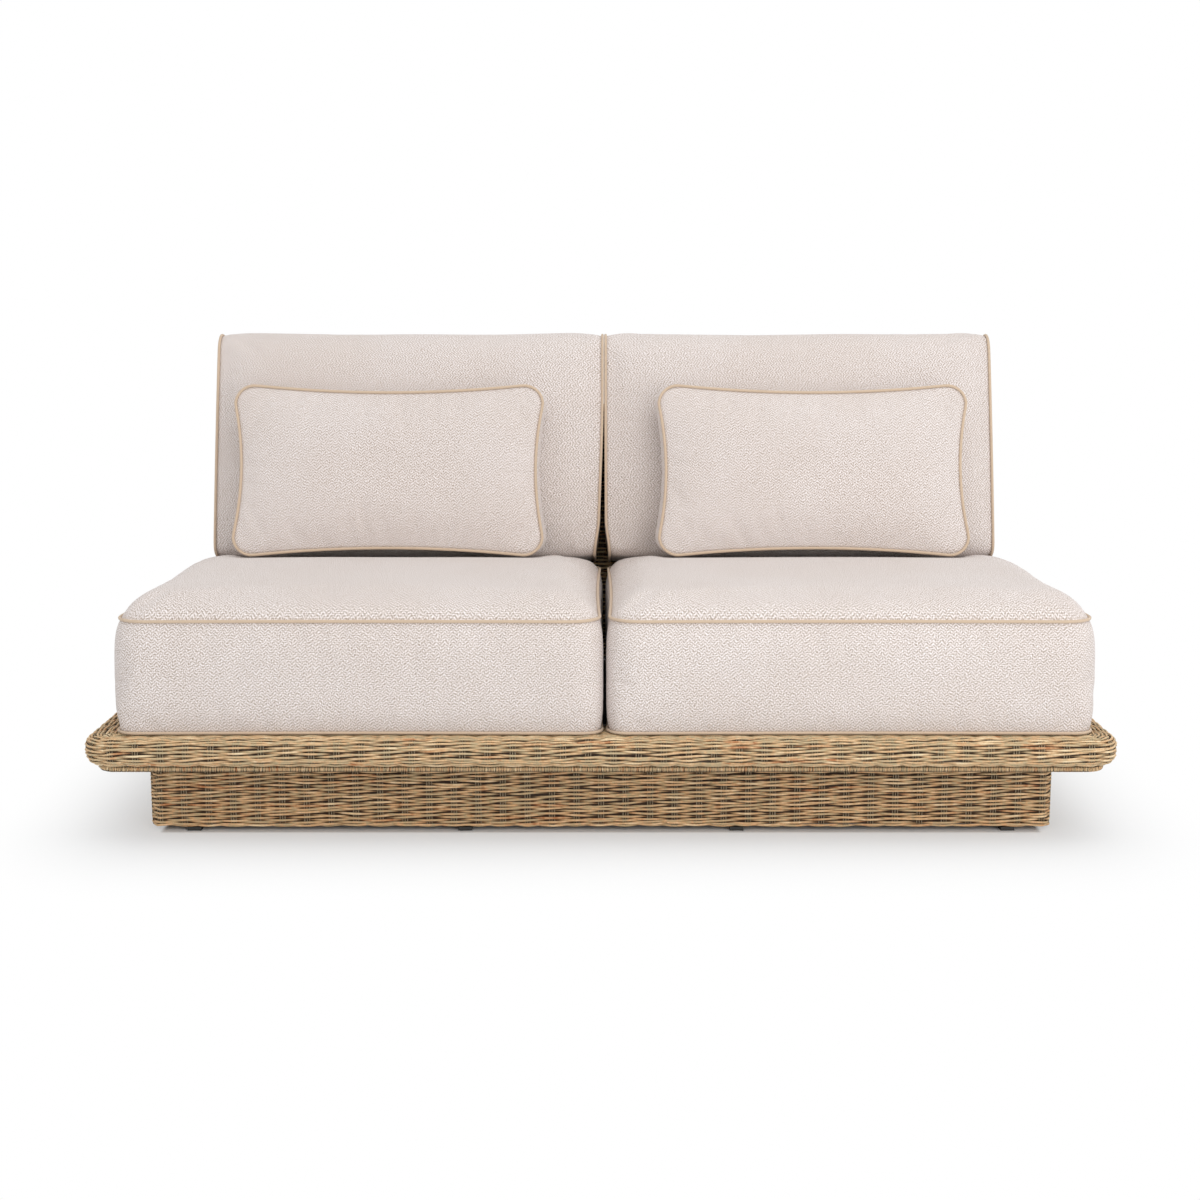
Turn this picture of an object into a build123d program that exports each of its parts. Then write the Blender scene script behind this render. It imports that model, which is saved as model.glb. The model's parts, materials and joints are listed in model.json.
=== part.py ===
from build123d import *

import math
import os

# Garden sofa without arms: a woven tray with a rounded nose on a set-in woven
# plinth, a leaning woven back, two seat cushions, two back cushions, two pillows.
# Millimetres. X runs along the sofa, -Y is its front, +Z is up.
# The origin is on the floor under the middle of the tray.

os.makedirs("parts", exist_ok=True)

# Tray and plinth
sofa_width = 1900.0
sofa_depth = 1020.0
deck_height = 200.0
tray_thickness = 55.0
tray_corner = 60.0
nose_radius = 22.0
skin = 4.0
fit = 0.3
overrun = 10.0
plinth_inset = 102.0
plinth_corner = 20.0
plinth_foot_bevel = 5.0
lip_width = 28.0
glide_height = 7.0
binding_inset = 26.0
binding_width = 8.0
binding_height = 11.7

# Aluminium frame
wall = 2.0
nose_tube = 30.0
nose_relief = 3.0
rail_width = 30.0
bearer_width = 40.0
bearer_height = 20.0
back_rail_width = 80.0
back_rail_lead = 17.0
plinth_tube = 25.0
post_count = 3
post_setback = 41.2
plate_length = 70.0
plate_bolt_spacing = 48.0
plate_thickness = 4.0
strut_size = 20.0
strut_setback = 68.7

# Seat webbing
strap_width = 60.0
strap_thickness = 2.0
strap_pitch = 130.0
cross_strap_pitch = 150.0
ledge = 15.0
clip_length = 54.0
clip_width = 9.0
clip_thickness = 1.2

# Leaning back
lean = 15.0
back_line = 272.0
back_end = 120.0
back_top = 760.0
back_thickness = 50.0
back_corner = 60.0
back_edge_radius = 20.0
back_tube = 30.0
back_tube_relief = 4.3
back_post_inset = 80.0
back_post_count = 4
foot_length = 110.0
foot_depth = 46.0
foot_bolt_spacing = 80.0
back_lower_rail_lift = 60.0

# Fasteners and glides
hexagon_sides = 6
bolt_radius = 4.0
bolt_head_radius = 7.0
bolt_head_height = 5.0
bolt_tail = 2.0
screw_radius = 3.0
screw_head_radius = 5.5
screw_head_height = 3.0
screw_length = 12.0
screw_recess = 4.0
glide_size = 26.0
glide_count = 4
glide_setback = 66.2
hole_clearance = 0.3

# Cushions
cover = 3.0
piping_radius = 3.0
piping_gap = 0.9
side_pull = 4.0

seat_width = 896.0
seat_depth = 740.0
seat_gap = 5.0
cushion_shift = 7.0
seat_front_setback = 35.0
seat_box_height = 209.0
seat_corner = 34.0
seat_draw_in = 6.0
# height above the top seam; at the rear the crown falls at the lean's angle, because
# the back cushion rests on it there
seat_crown = 57.0
seat_shoulder_run = 80.0
seat_shoulder_rise = 38.5
seat_rear_rise = 9.6
seat_flank_run = 106.0
seat_crest_run = 250.0

cushion_width = 838.0
cushion_gap = 4.0
cushion_lift = 210.0
cushion_height = 497.0
cushion_gusset = 158.0
cushion_crown = 24.0
cushion_draw_in = 7.0
cushion_end_run = 60.0
cushion_top_front = 46.0
cushion_top_rear = 30.0
cushion_bottom_front = 30.0
cushion_bottom_rear = 22.0
least_crown_share = 0.2
top_crown_share = 0.3

pillow_width = 654.0
pillow_height = 360.0
pillow_inner_edge = 118.0
pillow_gusset = 84.0
pillow_corner = 38.0
pillow_pull = 12.0
pillow_draw_in = 9.0
pillow_front_crown = 30.0
pillow_rear_crown = 12.0
pillow_shoulder_run = 60.0
pillow_shoulder_rise = 21.0
pillow_rear_run = 70.0
pillow_lift = 0.6

# Zips
seat_zip_length = 640.0
cushion_zip_length = 600.0
pillow_zip_length = 340.0
cushion_zip_height = 70.0
zip_sink = 1.5
slot_width = 10.0
tape_width = 14.0
tape_thickness = 0.8
coil_width = 5.0
coil_height = 1.6
slider_length = 11.0
slider_width = 8.6
slider_cap = 1.0
slider_clearance = 0.2
tab_length = 20.0
tab_width = 6.0
tab_thickness = 1.1

half = 0.5


def spread(count, pitch):
    """Evenly spaced places about zero."""
    return [(k - (count - 1) * half) * pitch for k in range(count)]


# Places that follow from the sizes
tray_bottom = deck_height - tray_thickness
rail_top = deck_height - skin - fit
rail_bottom = tray_bottom + skin + fit
rail_height = rail_top - rail_bottom
rail_inset = plinth_inset + skin + fit
rail_x = sofa_width * half - rail_inset - rail_width * half
rail_y = sofa_depth * half - rail_inset - rail_width * half
inner_x = rail_x - rail_width * half
inner_y = rail_y - rail_width * half
opening_x = inner_x + ledge
opening_front = -(inner_y + ledge)
back_rail_front = back_line - back_rail_lead
opening_rear = back_rail_front + ledge
back_rail_height = rail_top - rail_bottom - bearer_height
back_rail_y = back_rail_front + back_rail_width * half
plinth_rail_bottom = glide_height + skin + fit
plinth_rail_top = plinth_rail_bottom + plinth_tube
plinth_inside = plinth_inset + skin + fit + plinth_tube * half
plinth_x = sofa_width * half - plinth_inside
plinth_y = sofa_depth * half - plinth_inside
corner_run = plinth_corner - skin
post_spacing = plinth_x - post_setback
glide_spacing = 2 * (plinth_x - glide_setback) / (glide_count - 1)
bearer_spacing = inner_x * half
long_strut_spacing = rail_x - strut_setback
side_strut_spacing = rail_y
plate_bottom = rail_bottom - plate_thickness
nose_inset = skin + nose_relief + nose_tube * half
nose_x = sofa_width * half - nose_inset
nose_y = sofa_depth * half - nose_inset
nose_bend = tray_corner - nose_inset + 2 * nose_relief
slope = math.radians(lean)
front_of_lean = (0, -math.cos(slope), math.sin(slope))
lean_plane = Plane(origin=(0, back_line, deck_height), x_dir=(1, 0, 0), z_dir=front_of_lean)
back_width = sofa_width - 2 * back_end
back_height = (back_top - deck_height) / math.cos(slope)
back_post_spacing = (back_width - 2 * back_post_inset) / (back_post_count - 1)
post_places = spread(back_post_count, back_post_spacing)
foot_y = back_line + back_thickness * half / math.cos(slope)
back_rail_lift = back_height - skin - back_tube_relief - back_tube * half
arc_share = 1 - math.sqrt(half)
bevel_share = 2 - math.sqrt(2)
sides = {"left": -1, "right": 1}
seat_bottom = deck_height + fit
seat_seam = seat_bottom + seat_box_height
seat_front = -sofa_depth * half + seat_front_setback
seat_rear = seat_front + seat_depth
seat_top = seat_seam + seat_crown
cushion_rear = fit
cushion_front = cushion_rear + cushion_gusset + cushion_crown
pillow_rear_seam = cushion_front + 2 * fit + pillow_rear_crown
pillow_front_seam = pillow_rear_seam + pillow_gusset


def save(piece, label):
    """Label a finished sub-part and write it."""
    piece.part.label = label
    export_step(piece.part, f"parts/{label}.step")


def seat_middle(side):
    """Where the middle of a seat cushion lies along the sofa."""
    return side * (seat_width + seat_gap) * half + cushion_shift


def cushion_middle(side):
    """Where the middle of a back cushion lies along the sofa."""
    return side * (cushion_width + cushion_gap) * half + cushion_shift


def pillow_middle(side):
    """Where the middle of a pillow lies along the sofa."""
    return side * (pillow_inner_edge + pillow_width * half)


def tube(plane, length, width, height, thickness):
    """A rectangular tube of the current part, centred on a plane and along its normal."""
    with BuildSketch(plane) as section:
        Rectangle(width, height)
        Rectangle(width - 2 * thickness, height - 2 * thickness, mode=Mode.SUBTRACT)
    extrude(section.sketch, amount=length * half, both=True)


def along_x(x, y, z):
    """A plane across X, whose first axis is Y and second is Z."""
    return Plane(origin=(x, y, z), x_dir=(0, 1, 0), z_dir=(1, 0, 0))


def along_y(x, y, z):
    """A plane across Y, whose first axis is X and second is Z."""
    return Plane(origin=(x, y, z), x_dir=(1, 0, 0), z_dir=(0, -1, 0))


def post_spots():
    """The middles of the plinth's posts."""
    return [(x, side * plinth_y) for x in spread(post_count, post_spacing) for side in (-1, 1)]


def plate_bolt_spots():
    """The bolts that hold the tray's rails on the plinth's plates, one each side of a post."""
    return [(x + side * plate_bolt_spacing * half, y) for x, y in post_spots() for side in (-1, 1)]


def foot_bolt_spots():
    """The bolts that hold the back's feet on its rail."""
    return [(x + side * foot_bolt_spacing * half, foot_y) for x in post_places for side in (-1, 1)]


def glide_spots():
    """The glides under the plinth's lip."""
    return [(x, side * plinth_y) for x in spread(glide_count, glide_spacing) for side in (-1, 1)]


def make_tray_weave():
    """The woven skin round the tray: a wide rim, the rounded nose and the underside."""
    with BuildPart() as tray_void:
        with BuildSketch(Plane.XY.offset(tray_bottom + skin)) as outline:
            Rectangle(sofa_width - 2 * skin, sofa_depth - 2 * skin)
            chamfer(outline.vertices(), tray_corner - skin)
        extrude(amount=tray_thickness - 2 * skin)
        ends = tray_void.edges().group_by(Axis.Z)
        chamfer(ends[0] + ends[-1], (nose_radius - skin) * bevel_share)
    with BuildPart() as tray_weave:
        with BuildSketch(Plane.XY.offset(tray_bottom)):
            RectangleRounded(sofa_width, sofa_depth, tray_corner)
        extrude(amount=tray_thickness)
        ends = tray_weave.edges().group_by(Axis.Z)
        chamfer(ends[0], nose_radius * bevel_share)
        fillet(tray_weave.edges().group_by(Axis.Z)[-1], nose_radius)
        add(tray_void.part, mode=Mode.SUBTRACT)
        with BuildSketch(Plane.XY.offset(deck_height - skin - fit)):
            with Locations((0, (opening_front + opening_rear) * half)):
                Rectangle(2 * opening_x, opening_rear - opening_front)
            with Locations(*[(x, foot_y) for x in post_places]):
                Rectangle(foot_length + 2 * fit, foot_depth + 2 * fit)
        extrude(amount=skin + overrun, mode=Mode.SUBTRACT)
        with BuildSketch(Plane.XY.offset(tray_bottom - overrun)):
            Rectangle(sofa_width - 2 * rail_inset, sofa_depth - 2 * rail_inset)
        extrude(amount=skin + fit + overrun, mode=Mode.SUBTRACT)
    save(tray_weave, "tray_weave")


def make_tray_binding():
    """The wrapped border that closes the weave under the nose."""
    width = sofa_width - 2 * binding_inset
    depth = sofa_depth - 2 * binding_inset
    with BuildPart() as tray_binding:
        with BuildSketch(Plane.XY.offset(tray_bottom - fit)):
            RectangleRounded(width, depth, tray_corner - binding_inset)
            RectangleRounded(width - 2 * binding_width, depth - 2 * binding_width,
                             tray_corner - binding_inset - binding_width, mode=Mode.SUBTRACT)
        extrude(amount=-binding_height)
    save(tray_binding, "tray_binding")


def make_plinth_weave():
    """The woven skin round the plinth, turned under its lower rails as a lip."""
    width = sofa_width - 2 * plinth_inset
    depth = sofa_depth - 2 * plinth_inset
    height = tray_bottom - glide_height
    with BuildPart() as plinth_void:
        with BuildSketch(Plane.XY.offset(glide_height + skin)) as outline:
            Rectangle(width - 2 * skin, depth - 2 * skin)
            chamfer(outline.vertices(), corner_run)
        extrude(amount=height)
    with BuildPart() as plinth_weave:
        with BuildSketch(Plane.XY.offset(glide_height)):
            RectangleRounded(width, depth, plinth_corner)
        extrude(amount=height)
        chamfer(plinth_weave.edges().group_by(Axis.Z)[0], plinth_foot_bevel)
        add(plinth_void.part, mode=Mode.SUBTRACT)
        with BuildSketch(Plane.XY.offset(glide_height - overrun)):
            Rectangle(width - 2 * lip_width, depth - 2 * lip_width)
        extrude(amount=skin + 2 * overrun, mode=Mode.SUBTRACT)
        with BuildSketch(Plane.XY.offset(glide_height)):
            with Locations(*glide_spots()):
                RegularPolygon(screw_radius + hole_clearance, hexagon_sides)
        extrude(amount=skin, mode=Mode.SUBTRACT)
    save(plinth_weave, "plinth_weave")


def make_plinth_rails():
    """The lower rails of the plinth, with holes for the glides' screws."""
    long_length = 2 * (plinth_x - corner_run) + plinth_tube
    height = plinth_rail_bottom + plinth_tube * half
    for label, side in (("plinth_front_rail", -1), ("plinth_rear_rail", 1)):
        with BuildPart() as plinth_rail:
            tube(along_x(0, side * plinth_y, height), long_length, plinth_tube, plinth_tube, wall)
            with BuildSketch(Plane.XY.offset(plinth_rail_bottom)):
                with Locations(*[(x, side * plinth_y) for x in spread(glide_count, glide_spacing)]):
                    RegularPolygon(screw_radius + hole_clearance, hexagon_sides)
            extrude(amount=wall, mode=Mode.SUBTRACT)
        save(plinth_rail, label)
    with BuildPart() as plinth_side_rails:
        for side in (-1, 1):
            tube(along_y(side * plinth_x, 0, height), 2 * plinth_y - plinth_tube,
                 plinth_tube, plinth_tube, wall)
    save(plinth_side_rails, "plinth_side_rails")


def make_plinth_posts():
    """The short posts between the plinth's lower rails and the plates under the tray."""
    length = plate_bottom - plinth_rail_top
    with BuildPart() as plinth_posts:
        for x, y in post_spots():
            tube(Plane(origin=(x, y, plinth_rail_top + length * half)), length,
                 plinth_tube, plinth_tube, wall)
    save(plinth_posts, "plinth_posts")


def make_post_plates():
    """The plates on the posts, bolted under the tray's rails."""
    with BuildPart() as post_plates:
        with BuildSketch(Plane.XY.offset(plate_bottom)):
            with Locations(*post_spots()):
                Rectangle(plate_length, plinth_tube)
            with Locations(*plate_bolt_spots()):
                RegularPolygon(screw_radius + hole_clearance, hexagon_sides, mode=Mode.SUBTRACT)
        extrude(amount=plate_thickness)
    save(post_plates, "post_plates")


def bolt_holes(bottom):
    """Cut the plate bolts' holes through the lower wall of the tray's rails."""
    with BuildSketch(Plane.XY.offset(bottom)) as holes:
        with Locations(*plate_bolt_spots()):
            RegularPolygon(screw_radius + hole_clearance, hexagon_sides)
    extrude(holes.sketch, amount=wall, mode=Mode.SUBTRACT)


def make_deck_rails():
    """The tray's inner rails, which stand over the plinth's posts."""
    height = rail_bottom + rail_height * half
    for label, side in (("deck_front_rail", -1), ("deck_rear_rail", 1)):
        with BuildPart() as deck_rail:
            tube(along_x(0, side * rail_y, height), 2 * rail_x + rail_width,
                 rail_width, rail_height, wall)
            bolt_holes(rail_bottom)
        save(deck_rail, label)
    with BuildPart() as deck_side_rails:
        for side in (-1, 1):
            tube(along_y(side * rail_x, 0, height), 2 * rail_y - rail_width,
                 rail_width, rail_height, wall)
    save(deck_side_rails, "deck_side_rails")


def make_deck_bearers():
    """The cross tubes that tie the front rail to the rear one."""
    with BuildPart() as deck_bearers:
        for x in spread(3, bearer_spacing):
            tube(along_y(x, 0, rail_bottom + bearer_height * half), 2 * inner_y,
                 bearer_width, bearer_height, wall)
    save(deck_bearers, "deck_bearers")


def make_back_rail():
    """The flat tube on the bearers that carries the leaning back."""
    height = rail_bottom + bearer_height + back_rail_height * half
    with BuildPart() as back_rail:
        tube(along_x(0, back_rail_y, height), 2 * inner_x, back_rail_width, back_rail_height, wall)
        with BuildSketch(Plane.XY.offset(rail_bottom + bearer_height)):
            with Locations(*foot_bolt_spots()):
                RegularPolygon(bolt_radius + hole_clearance, hexagon_sides)
        extrude(amount=back_rail_height, mode=Mode.SUBTRACT)
    save(back_rail, "back_rail")


def make_nose_tubes():
    """The square tube inside the nose: front and rear lengths with mitred ends, straight sides."""
    height = rail_bottom + rail_height * half
    for label, side in (("nose_tube_front", -1), ("nose_tube_rear", 1)):
        start = (-nose_x, side * (nose_y - nose_bend))
        with BuildPart() as nose_tube_mitred:
            with BuildLine(Plane.XY.offset(height)) as path:
                Polyline(start, (-nose_x + nose_bend, side * nose_y), (nose_x - nose_bend, side * nose_y),
                         (nose_x, side * (nose_y - nose_bend)))
            with BuildSketch(Plane(origin=(*start, height), x_dir=(0, 0, 1), z_dir=(1, side, 0))):
                Rectangle(nose_tube, nose_tube)
                Rectangle(nose_tube - 2 * wall, nose_tube - 2 * wall, mode=Mode.SUBTRACT)
            sweep(path=path.wire(), transition=Transition.RIGHT)
        save(nose_tube_mitred, label)
    with BuildPart() as nose_tubes_side:
        for side in (-1, 1):
            tube(along_y(side * nose_x, 0, height), 2 * (nose_y - nose_bend - nose_tube * half),
                 nose_tube, nose_tube, wall)
    save(nose_tubes_side, "nose_tubes_side")


def make_nose_struts():
    """The short tubes that hold the nose tube out from the tray's rails."""
    height = rail_bottom + rail_height * half
    reach = rail_inset - nose_inset - nose_tube * half
    middle_x = sofa_width * half - rail_inset + reach * half
    middle_y = sofa_depth * half - rail_inset + reach * half
    with BuildPart() as nose_struts:
        for side in (-1, 1):
            for x in spread(3, long_strut_spacing):
                tube(along_y(x, side * middle_y, height), reach, strut_size, strut_size, wall)
            for y in spread(2, side_strut_spacing):
                tube(along_x(side * middle_x, y, height), reach, strut_size, strut_size, wall)
    save(nose_struts, "nose_struts")


def strap_spots():
    """Where the long straps lie, leaving out the frame's middle line."""
    count = int((2 * inner_x - strap_width) / strap_pitch)
    return spread(count + 1, strap_pitch)


def make_seat_webbing():
    """Elastic straps across the tray's opening: long ones, with cross straps on them."""
    strap_front = opening_front + fit
    strap_rear = opening_rear - fit
    with BuildPart() as long_straps:
        with BuildSketch(Plane.XY.offset(rail_top)):
            with Locations(*[(x, (strap_front + strap_rear) * half) for x in strap_spots()]):
                Rectangle(strap_width, strap_rear - strap_front)
        extrude(amount=strap_thickness)
    save(long_straps, "long_straps")
    middle = (back_rail_front - inner_y) * half
    with BuildPart() as cross_straps:
        with BuildSketch(Plane.XY.offset(rail_top + strap_thickness)):
            with Locations(*[(0, middle + y) for y in spread(4, cross_strap_pitch)]):
                Rectangle(2 * opening_x - 2 * fit, strap_width)
        extrude(amount=strap_thickness)
    save(cross_straps, "cross_straps")
    clip_setback = clip_width * half + fit
    ends = [(x, y) for x in strap_spots() for y in (strap_front + clip_setback, strap_rear - clip_setback)]
    with BuildPart() as strap_clips:
        with BuildSketch(Plane.XY.offset(rail_top + strap_thickness)):
            with Locations(*ends):
                Rectangle(clip_length, clip_width)
        extrude(amount=clip_thickness)
    save(strap_clips, "strap_clips")


def back_outline(inset, ease):
    """The leaning back's outline with its mirror image below the foot line, which is cut off later."""
    with BuildSketch(lean_plane.offset(-inset)) as outline:
        Rectangle(back_width - 2 * inset, 2 * (back_height - inset))
        ease(outline.vertices(), back_corner - inset)
    return outline.sketch


def make_back_weave():
    """The woven skin of the leaning back, open at its foot where the posts come in."""
    through = Axis(lean_plane.origin, front_of_lean)
    with BuildPart() as back_void:
        extrude(back_outline(skin, chamfer), amount=-(back_thickness - 2 * skin))
        faces = back_void.faces().sort_by(through)
        chamfer(faces[0].edges() + faces[-1].edges(), (back_edge_radius - skin) * bevel_share)
    with BuildPart() as back_weave:
        extrude(back_outline(0, fillet), amount=-back_thickness)
        chamfer(back_weave.faces().sort_by(through)[0].edges(), back_edge_radius * bevel_share)
        fillet(back_weave.faces().sort_by(through)[-1].edges(), back_edge_radius)
        add(back_void.part, mode=Mode.SUBTRACT)
        split(bisect_by=Plane.XY.offset(deck_height + fit), keep=Keep.TOP)
    save(back_weave, "back_weave")


def make_back_frame():
    """The posts, cross rails and feet inside the leaning back."""
    depth = -back_thickness * half
    with BuildPart() as back_posts:
        for x in post_places:
            origin = lean_plane.from_local_coords((x, 0, depth))
            tube(Plane(origin=origin, x_dir=(1, 0, 0), z_dir=lean_plane.y_dir),
                 2 * (back_rail_lift - back_tube * half), back_tube, back_tube, wall)
        split(bisect_by=Plane.XY.offset(rail_top + plate_thickness), keep=Keep.TOP)
    save(back_posts, "back_posts")
    with BuildPart() as back_top_rail:
        origin = lean_plane.from_local_coords((0, back_rail_lift, depth))
        tube(Plane(origin=origin, x_dir=front_of_lean, z_dir=(1, 0, 0)),
             post_places[-1] - post_places[0] + back_tube, back_tube, back_tube, wall)
    save(back_top_rail, "back_top_rail")
    with BuildPart() as back_lower_rails:
        for x in spread(3, back_post_spacing):
            origin = lean_plane.from_local_coords((x, back_lower_rail_lift, depth))
            tube(Plane(origin=origin, x_dir=front_of_lean, z_dir=(1, 0, 0)),
                 back_post_spacing - back_tube, back_tube, back_tube, wall)
    save(back_lower_rails, "back_lower_rails")
    with BuildPart() as back_feet:
        with BuildSketch(Plane.XY.offset(rail_top)):
            with Locations(*[(x, foot_y) for x in post_places]):
                Rectangle(foot_length, foot_depth)
            with Locations(*foot_bolt_spots()):
                RegularPolygon(bolt_radius + hole_clearance, hexagon_sides, mode=Mode.SUBTRACT)
        extrude(amount=plate_thickness)
    save(back_feet, "back_feet")


def bolts(spots, start, head_radius, head_height, radius, length):
    """Bolts of the current part, standing on their hexagon heads."""
    with BuildSketch(Plane.XY.offset(start)) as heads:
        with Locations(*spots):
            RegularPolygon(head_radius, hexagon_sides)
    extrude(heads.sketch, amount=head_height)
    with BuildSketch(Plane.XY.offset(start + head_height)) as shanks:
        with Locations(*spots):
            RegularPolygon(radius, hexagon_sides)
    extrude(shanks.sketch, amount=length)


def make_fasteners():
    """Bolts under the back's feet and under the plinth's plates."""
    with BuildPart() as foot_bolts:
        bolts(foot_bolt_spots(), rail_bottom + bearer_height - bolt_head_height, bolt_head_radius,
              bolt_head_height, bolt_radius, back_rail_height + plate_thickness)
    save(foot_bolts, "foot_bolts")
    with BuildPart() as plate_bolts:
        bolts(plate_bolt_spots(), plate_bottom - screw_head_height, screw_head_radius,
              screw_head_height, screw_radius, plate_thickness + wall + bolt_tail)
    save(plate_bolts, "plate_bolts")


def make_glides():
    """Nylon glides under the plinth, each recessed for its screw."""
    with BuildPart() as glides:
        with BuildSketch(Plane.XY):
            with Locations(*glide_spots()):
                Rectangle(glide_size, glide_size)
        extrude(amount=glide_height)
        with BuildSketch(Plane.XY):
            with Locations(*glide_spots()):
                RegularPolygon(screw_head_radius + hole_clearance, hexagon_sides)
        extrude(amount=screw_recess, mode=Mode.SUBTRACT)
        with BuildSketch(Plane.XY):
            with Locations(*glide_spots()):
                RegularPolygon(screw_radius + hole_clearance, hexagon_sides)
        extrude(amount=glide_height, mode=Mode.SUBTRACT)
    save(glides, "glides")


def make_glide_screws():
    """The screws that hold the glides through the lip to the plinth's lower rails."""
    with BuildPart() as glide_screws:
        bolts(glide_spots(), screw_recess - screw_head_height, screw_head_radius, screw_head_height,
              screw_radius, screw_length)
    save(glide_screws, "glide_screws")


def drawn_outline(plane, low, high, corner, pull):
    """A rounded rectangle whose four sides draw in between its corners."""
    x0, y0 = low
    x1, y1 = high
    cut = corner * arc_share
    middle_x = (x0 + x1) * half
    middle_y = (y0 + y1) * half
    with BuildSketch(plane) as face:
        with BuildLine():
            ThreePointArc((x0 + corner, y0), (middle_x, y0 + pull), (x1 - corner, y0))
            ThreePointArc((x1 - corner, y0), (x1 - cut, y0 + cut), (x1, y0 + corner))
            ThreePointArc((x1, y0 + corner), (x1 - pull, middle_y), (x1, y1 - corner))
            ThreePointArc((x1, y1 - corner), (x1 - cut, y1 - cut), (x1 - corner, y1))
            ThreePointArc((x1 - corner, y1), (middle_x, y1 - pull), (x0 + corner, y1))
            ThreePointArc((x0 + corner, y1), (x0 + cut, y1 - cut), (x0, y1 - corner))
            ThreePointArc((x0, y1 - corner), (x0 + pull, middle_y), (x0, y0 + corner))
            ThreePointArc((x0, y0 + corner), (x0 + cut, y0 + cut), (x0 + corner, y0))
        make_face()
    return face.sketch


def straight_outline(plane, low, high, corner):
    """A straight-sided rectangle with its corners cut off."""
    x0, y0 = low
    x1, y1 = high
    with BuildSketch(plane) as face:
        Polygon((x0 + corner, y0), (x1 - corner, y0), (x1, y0 + corner), (x1, y1 - corner),
                (x1 - corner, y1), (x0 + corner, y1), (x0, y1 - corner), (x0, y0 + corner), align=None)
    return face.sketch


def piping_ring(section):
    """A four-sided cord round a seam; section gives its outline at an offset and a rise."""
    steps = [(0, -piping_radius), (piping_radius, 0), (0, piping_radius)]
    with BuildPart() as ring:
        loft([section(offset, rise) for offset, rise in steps], ruled=True)
        loft([section(-offset, rise) for offset, rise in steps], ruled=True, mode=Mode.SUBTRACT)
    return ring.part


def crown_profile(plane, low, high, base, run, rise, crown):
    """A crowned cross-section: one wide arc with a round shoulder at each end."""
    with BuildSketch(plane) as face:
        with BuildLine():
            crest = ThreePointArc((low + run, base + rise), ((low + high) * half, base + crown),
                                  (high - run, base + rise))
            TangentArc(crest @ 0, (low, base), tangent=-(crest % 0))
            TangentArc(crest @ 1, (high, base), tangent=crest % 1)
            Line((low, base), (high, base))
        make_face()
    return face.sketch


def seat_corners(side, inset, rear_inset):
    """Two opposite corners of a seat cushion's outline, drawn in by its insets."""
    middle = seat_middle(side)
    low = (middle - seat_width * half + inset, seat_front + inset)
    high = (middle + seat_width * half - inset, seat_rear - rear_inset)
    return low, high


def seat_outline(side, level, inset, rear_inset, corner):
    """A level section of a seat cushion, drawn in by an inset at the front and sides."""
    low, high = seat_corners(side, inset, rear_inset)
    return drawn_outline(Plane.XY.offset(level), low, high, corner, side_pull)


def seat_form(side):
    """A seat cushion's boxed form with its crown."""
    levels = [(seat_bottom, seat_draw_in), ((seat_bottom + seat_seam) * half, 0), (seat_seam, seat_draw_in)]
    low, high = seat_corners(side, seat_draw_in, seat_draw_in)
    across = Plane(origin=(seat_middle(side), 0, 0), x_dir=(0, 1, 0), z_dir=(1, 0, 0))
    with BuildPart() as crown:
        extrude(seat_outline(side, seat_seam, seat_draw_in, seat_draw_in, seat_corner), amount=seat_crown)
        along = crown_profile(Plane.XZ, low[0], high[0], seat_seam, seat_shoulder_run,
                              seat_shoulder_rise, seat_crown)
        extrude(along, amount=sofa_depth, both=True, mode=Mode.INTERSECT)
        with BuildSketch(across) as side_view:
            with BuildLine():
                crest = (high[1] - seat_crest_run, seat_top)
                flank = (high[1] - seat_flank_run, seat_seam + seat_rear_rise + seat_flank_run * math.tan(slope))
                TangentArc(crest, flank, tangent=(1, 0))
                Line(flank, (high[1], seat_seam + seat_rear_rise))
                front = TangentArc(crest, (low[1] + seat_shoulder_run, seat_seam + seat_shoulder_rise),
                                   tangent=(-1, 0))
                TangentArc(front @ 1, (low[1], seat_seam), tangent=front % 1)
                Polyline((low[1], seat_seam), (high[1], seat_seam), (high[1], seat_seam + seat_rear_rise))
            make_face()
        extrude(side_view.sketch, amount=seat_width, both=True, mode=Mode.INTERSECT)
    with BuildPart() as form:
        loft([seat_outline(side, level, draw, draw, seat_corner) for level, draw in levels], ruled=True)
        add(crown.part)
    return form.part


def seat_block(side, inset):
    """The straight-sided form of a seat cushion's filling, an inset inside its cover."""
    draw = seat_draw_in + side_pull + inset
    low, high = seat_corners(side, draw, draw)
    floor = seat_bottom + inset
    seam = seat_seam - inset
    shoulder = seam + seat_shoulder_rise
    top = seam + seat_crown
    flank = seam + seat_rear_rise + seat_flank_run * math.tan(slope)
    across = Plane(origin=(seat_middle(side), 0, 0), x_dir=(0, 1, 0), z_dir=(1, 0, 0))
    with BuildPart() as block:
        extrude(straight_outline(Plane.XY.offset(floor), low, high, seat_corner), amount=top - floor)
        with BuildSketch(Plane.XZ) as front_view:
            Polygon((low[0], floor), (high[0], floor), (high[0], seam), (high[0] - seat_shoulder_run, shoulder),
                    (seat_middle(side), top), (low[0] + seat_shoulder_run, shoulder), (low[0], seam), align=None)
        extrude(front_view.sketch, amount=sofa_depth, both=True, mode=Mode.INTERSECT)
        with BuildSketch(across) as side_view:
            Polygon((low[1], floor), (high[1], floor), (high[1], seam), (high[1] - seat_flank_run, flank),
                    (high[1] - seat_crest_run, top), (low[1] + seat_shoulder_run, shoulder), (low[1], seam),
                    align=None)
        extrude(side_view.sketch, amount=seat_width, both=True, mode=Mode.INTERSECT)
    return block.part


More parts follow.
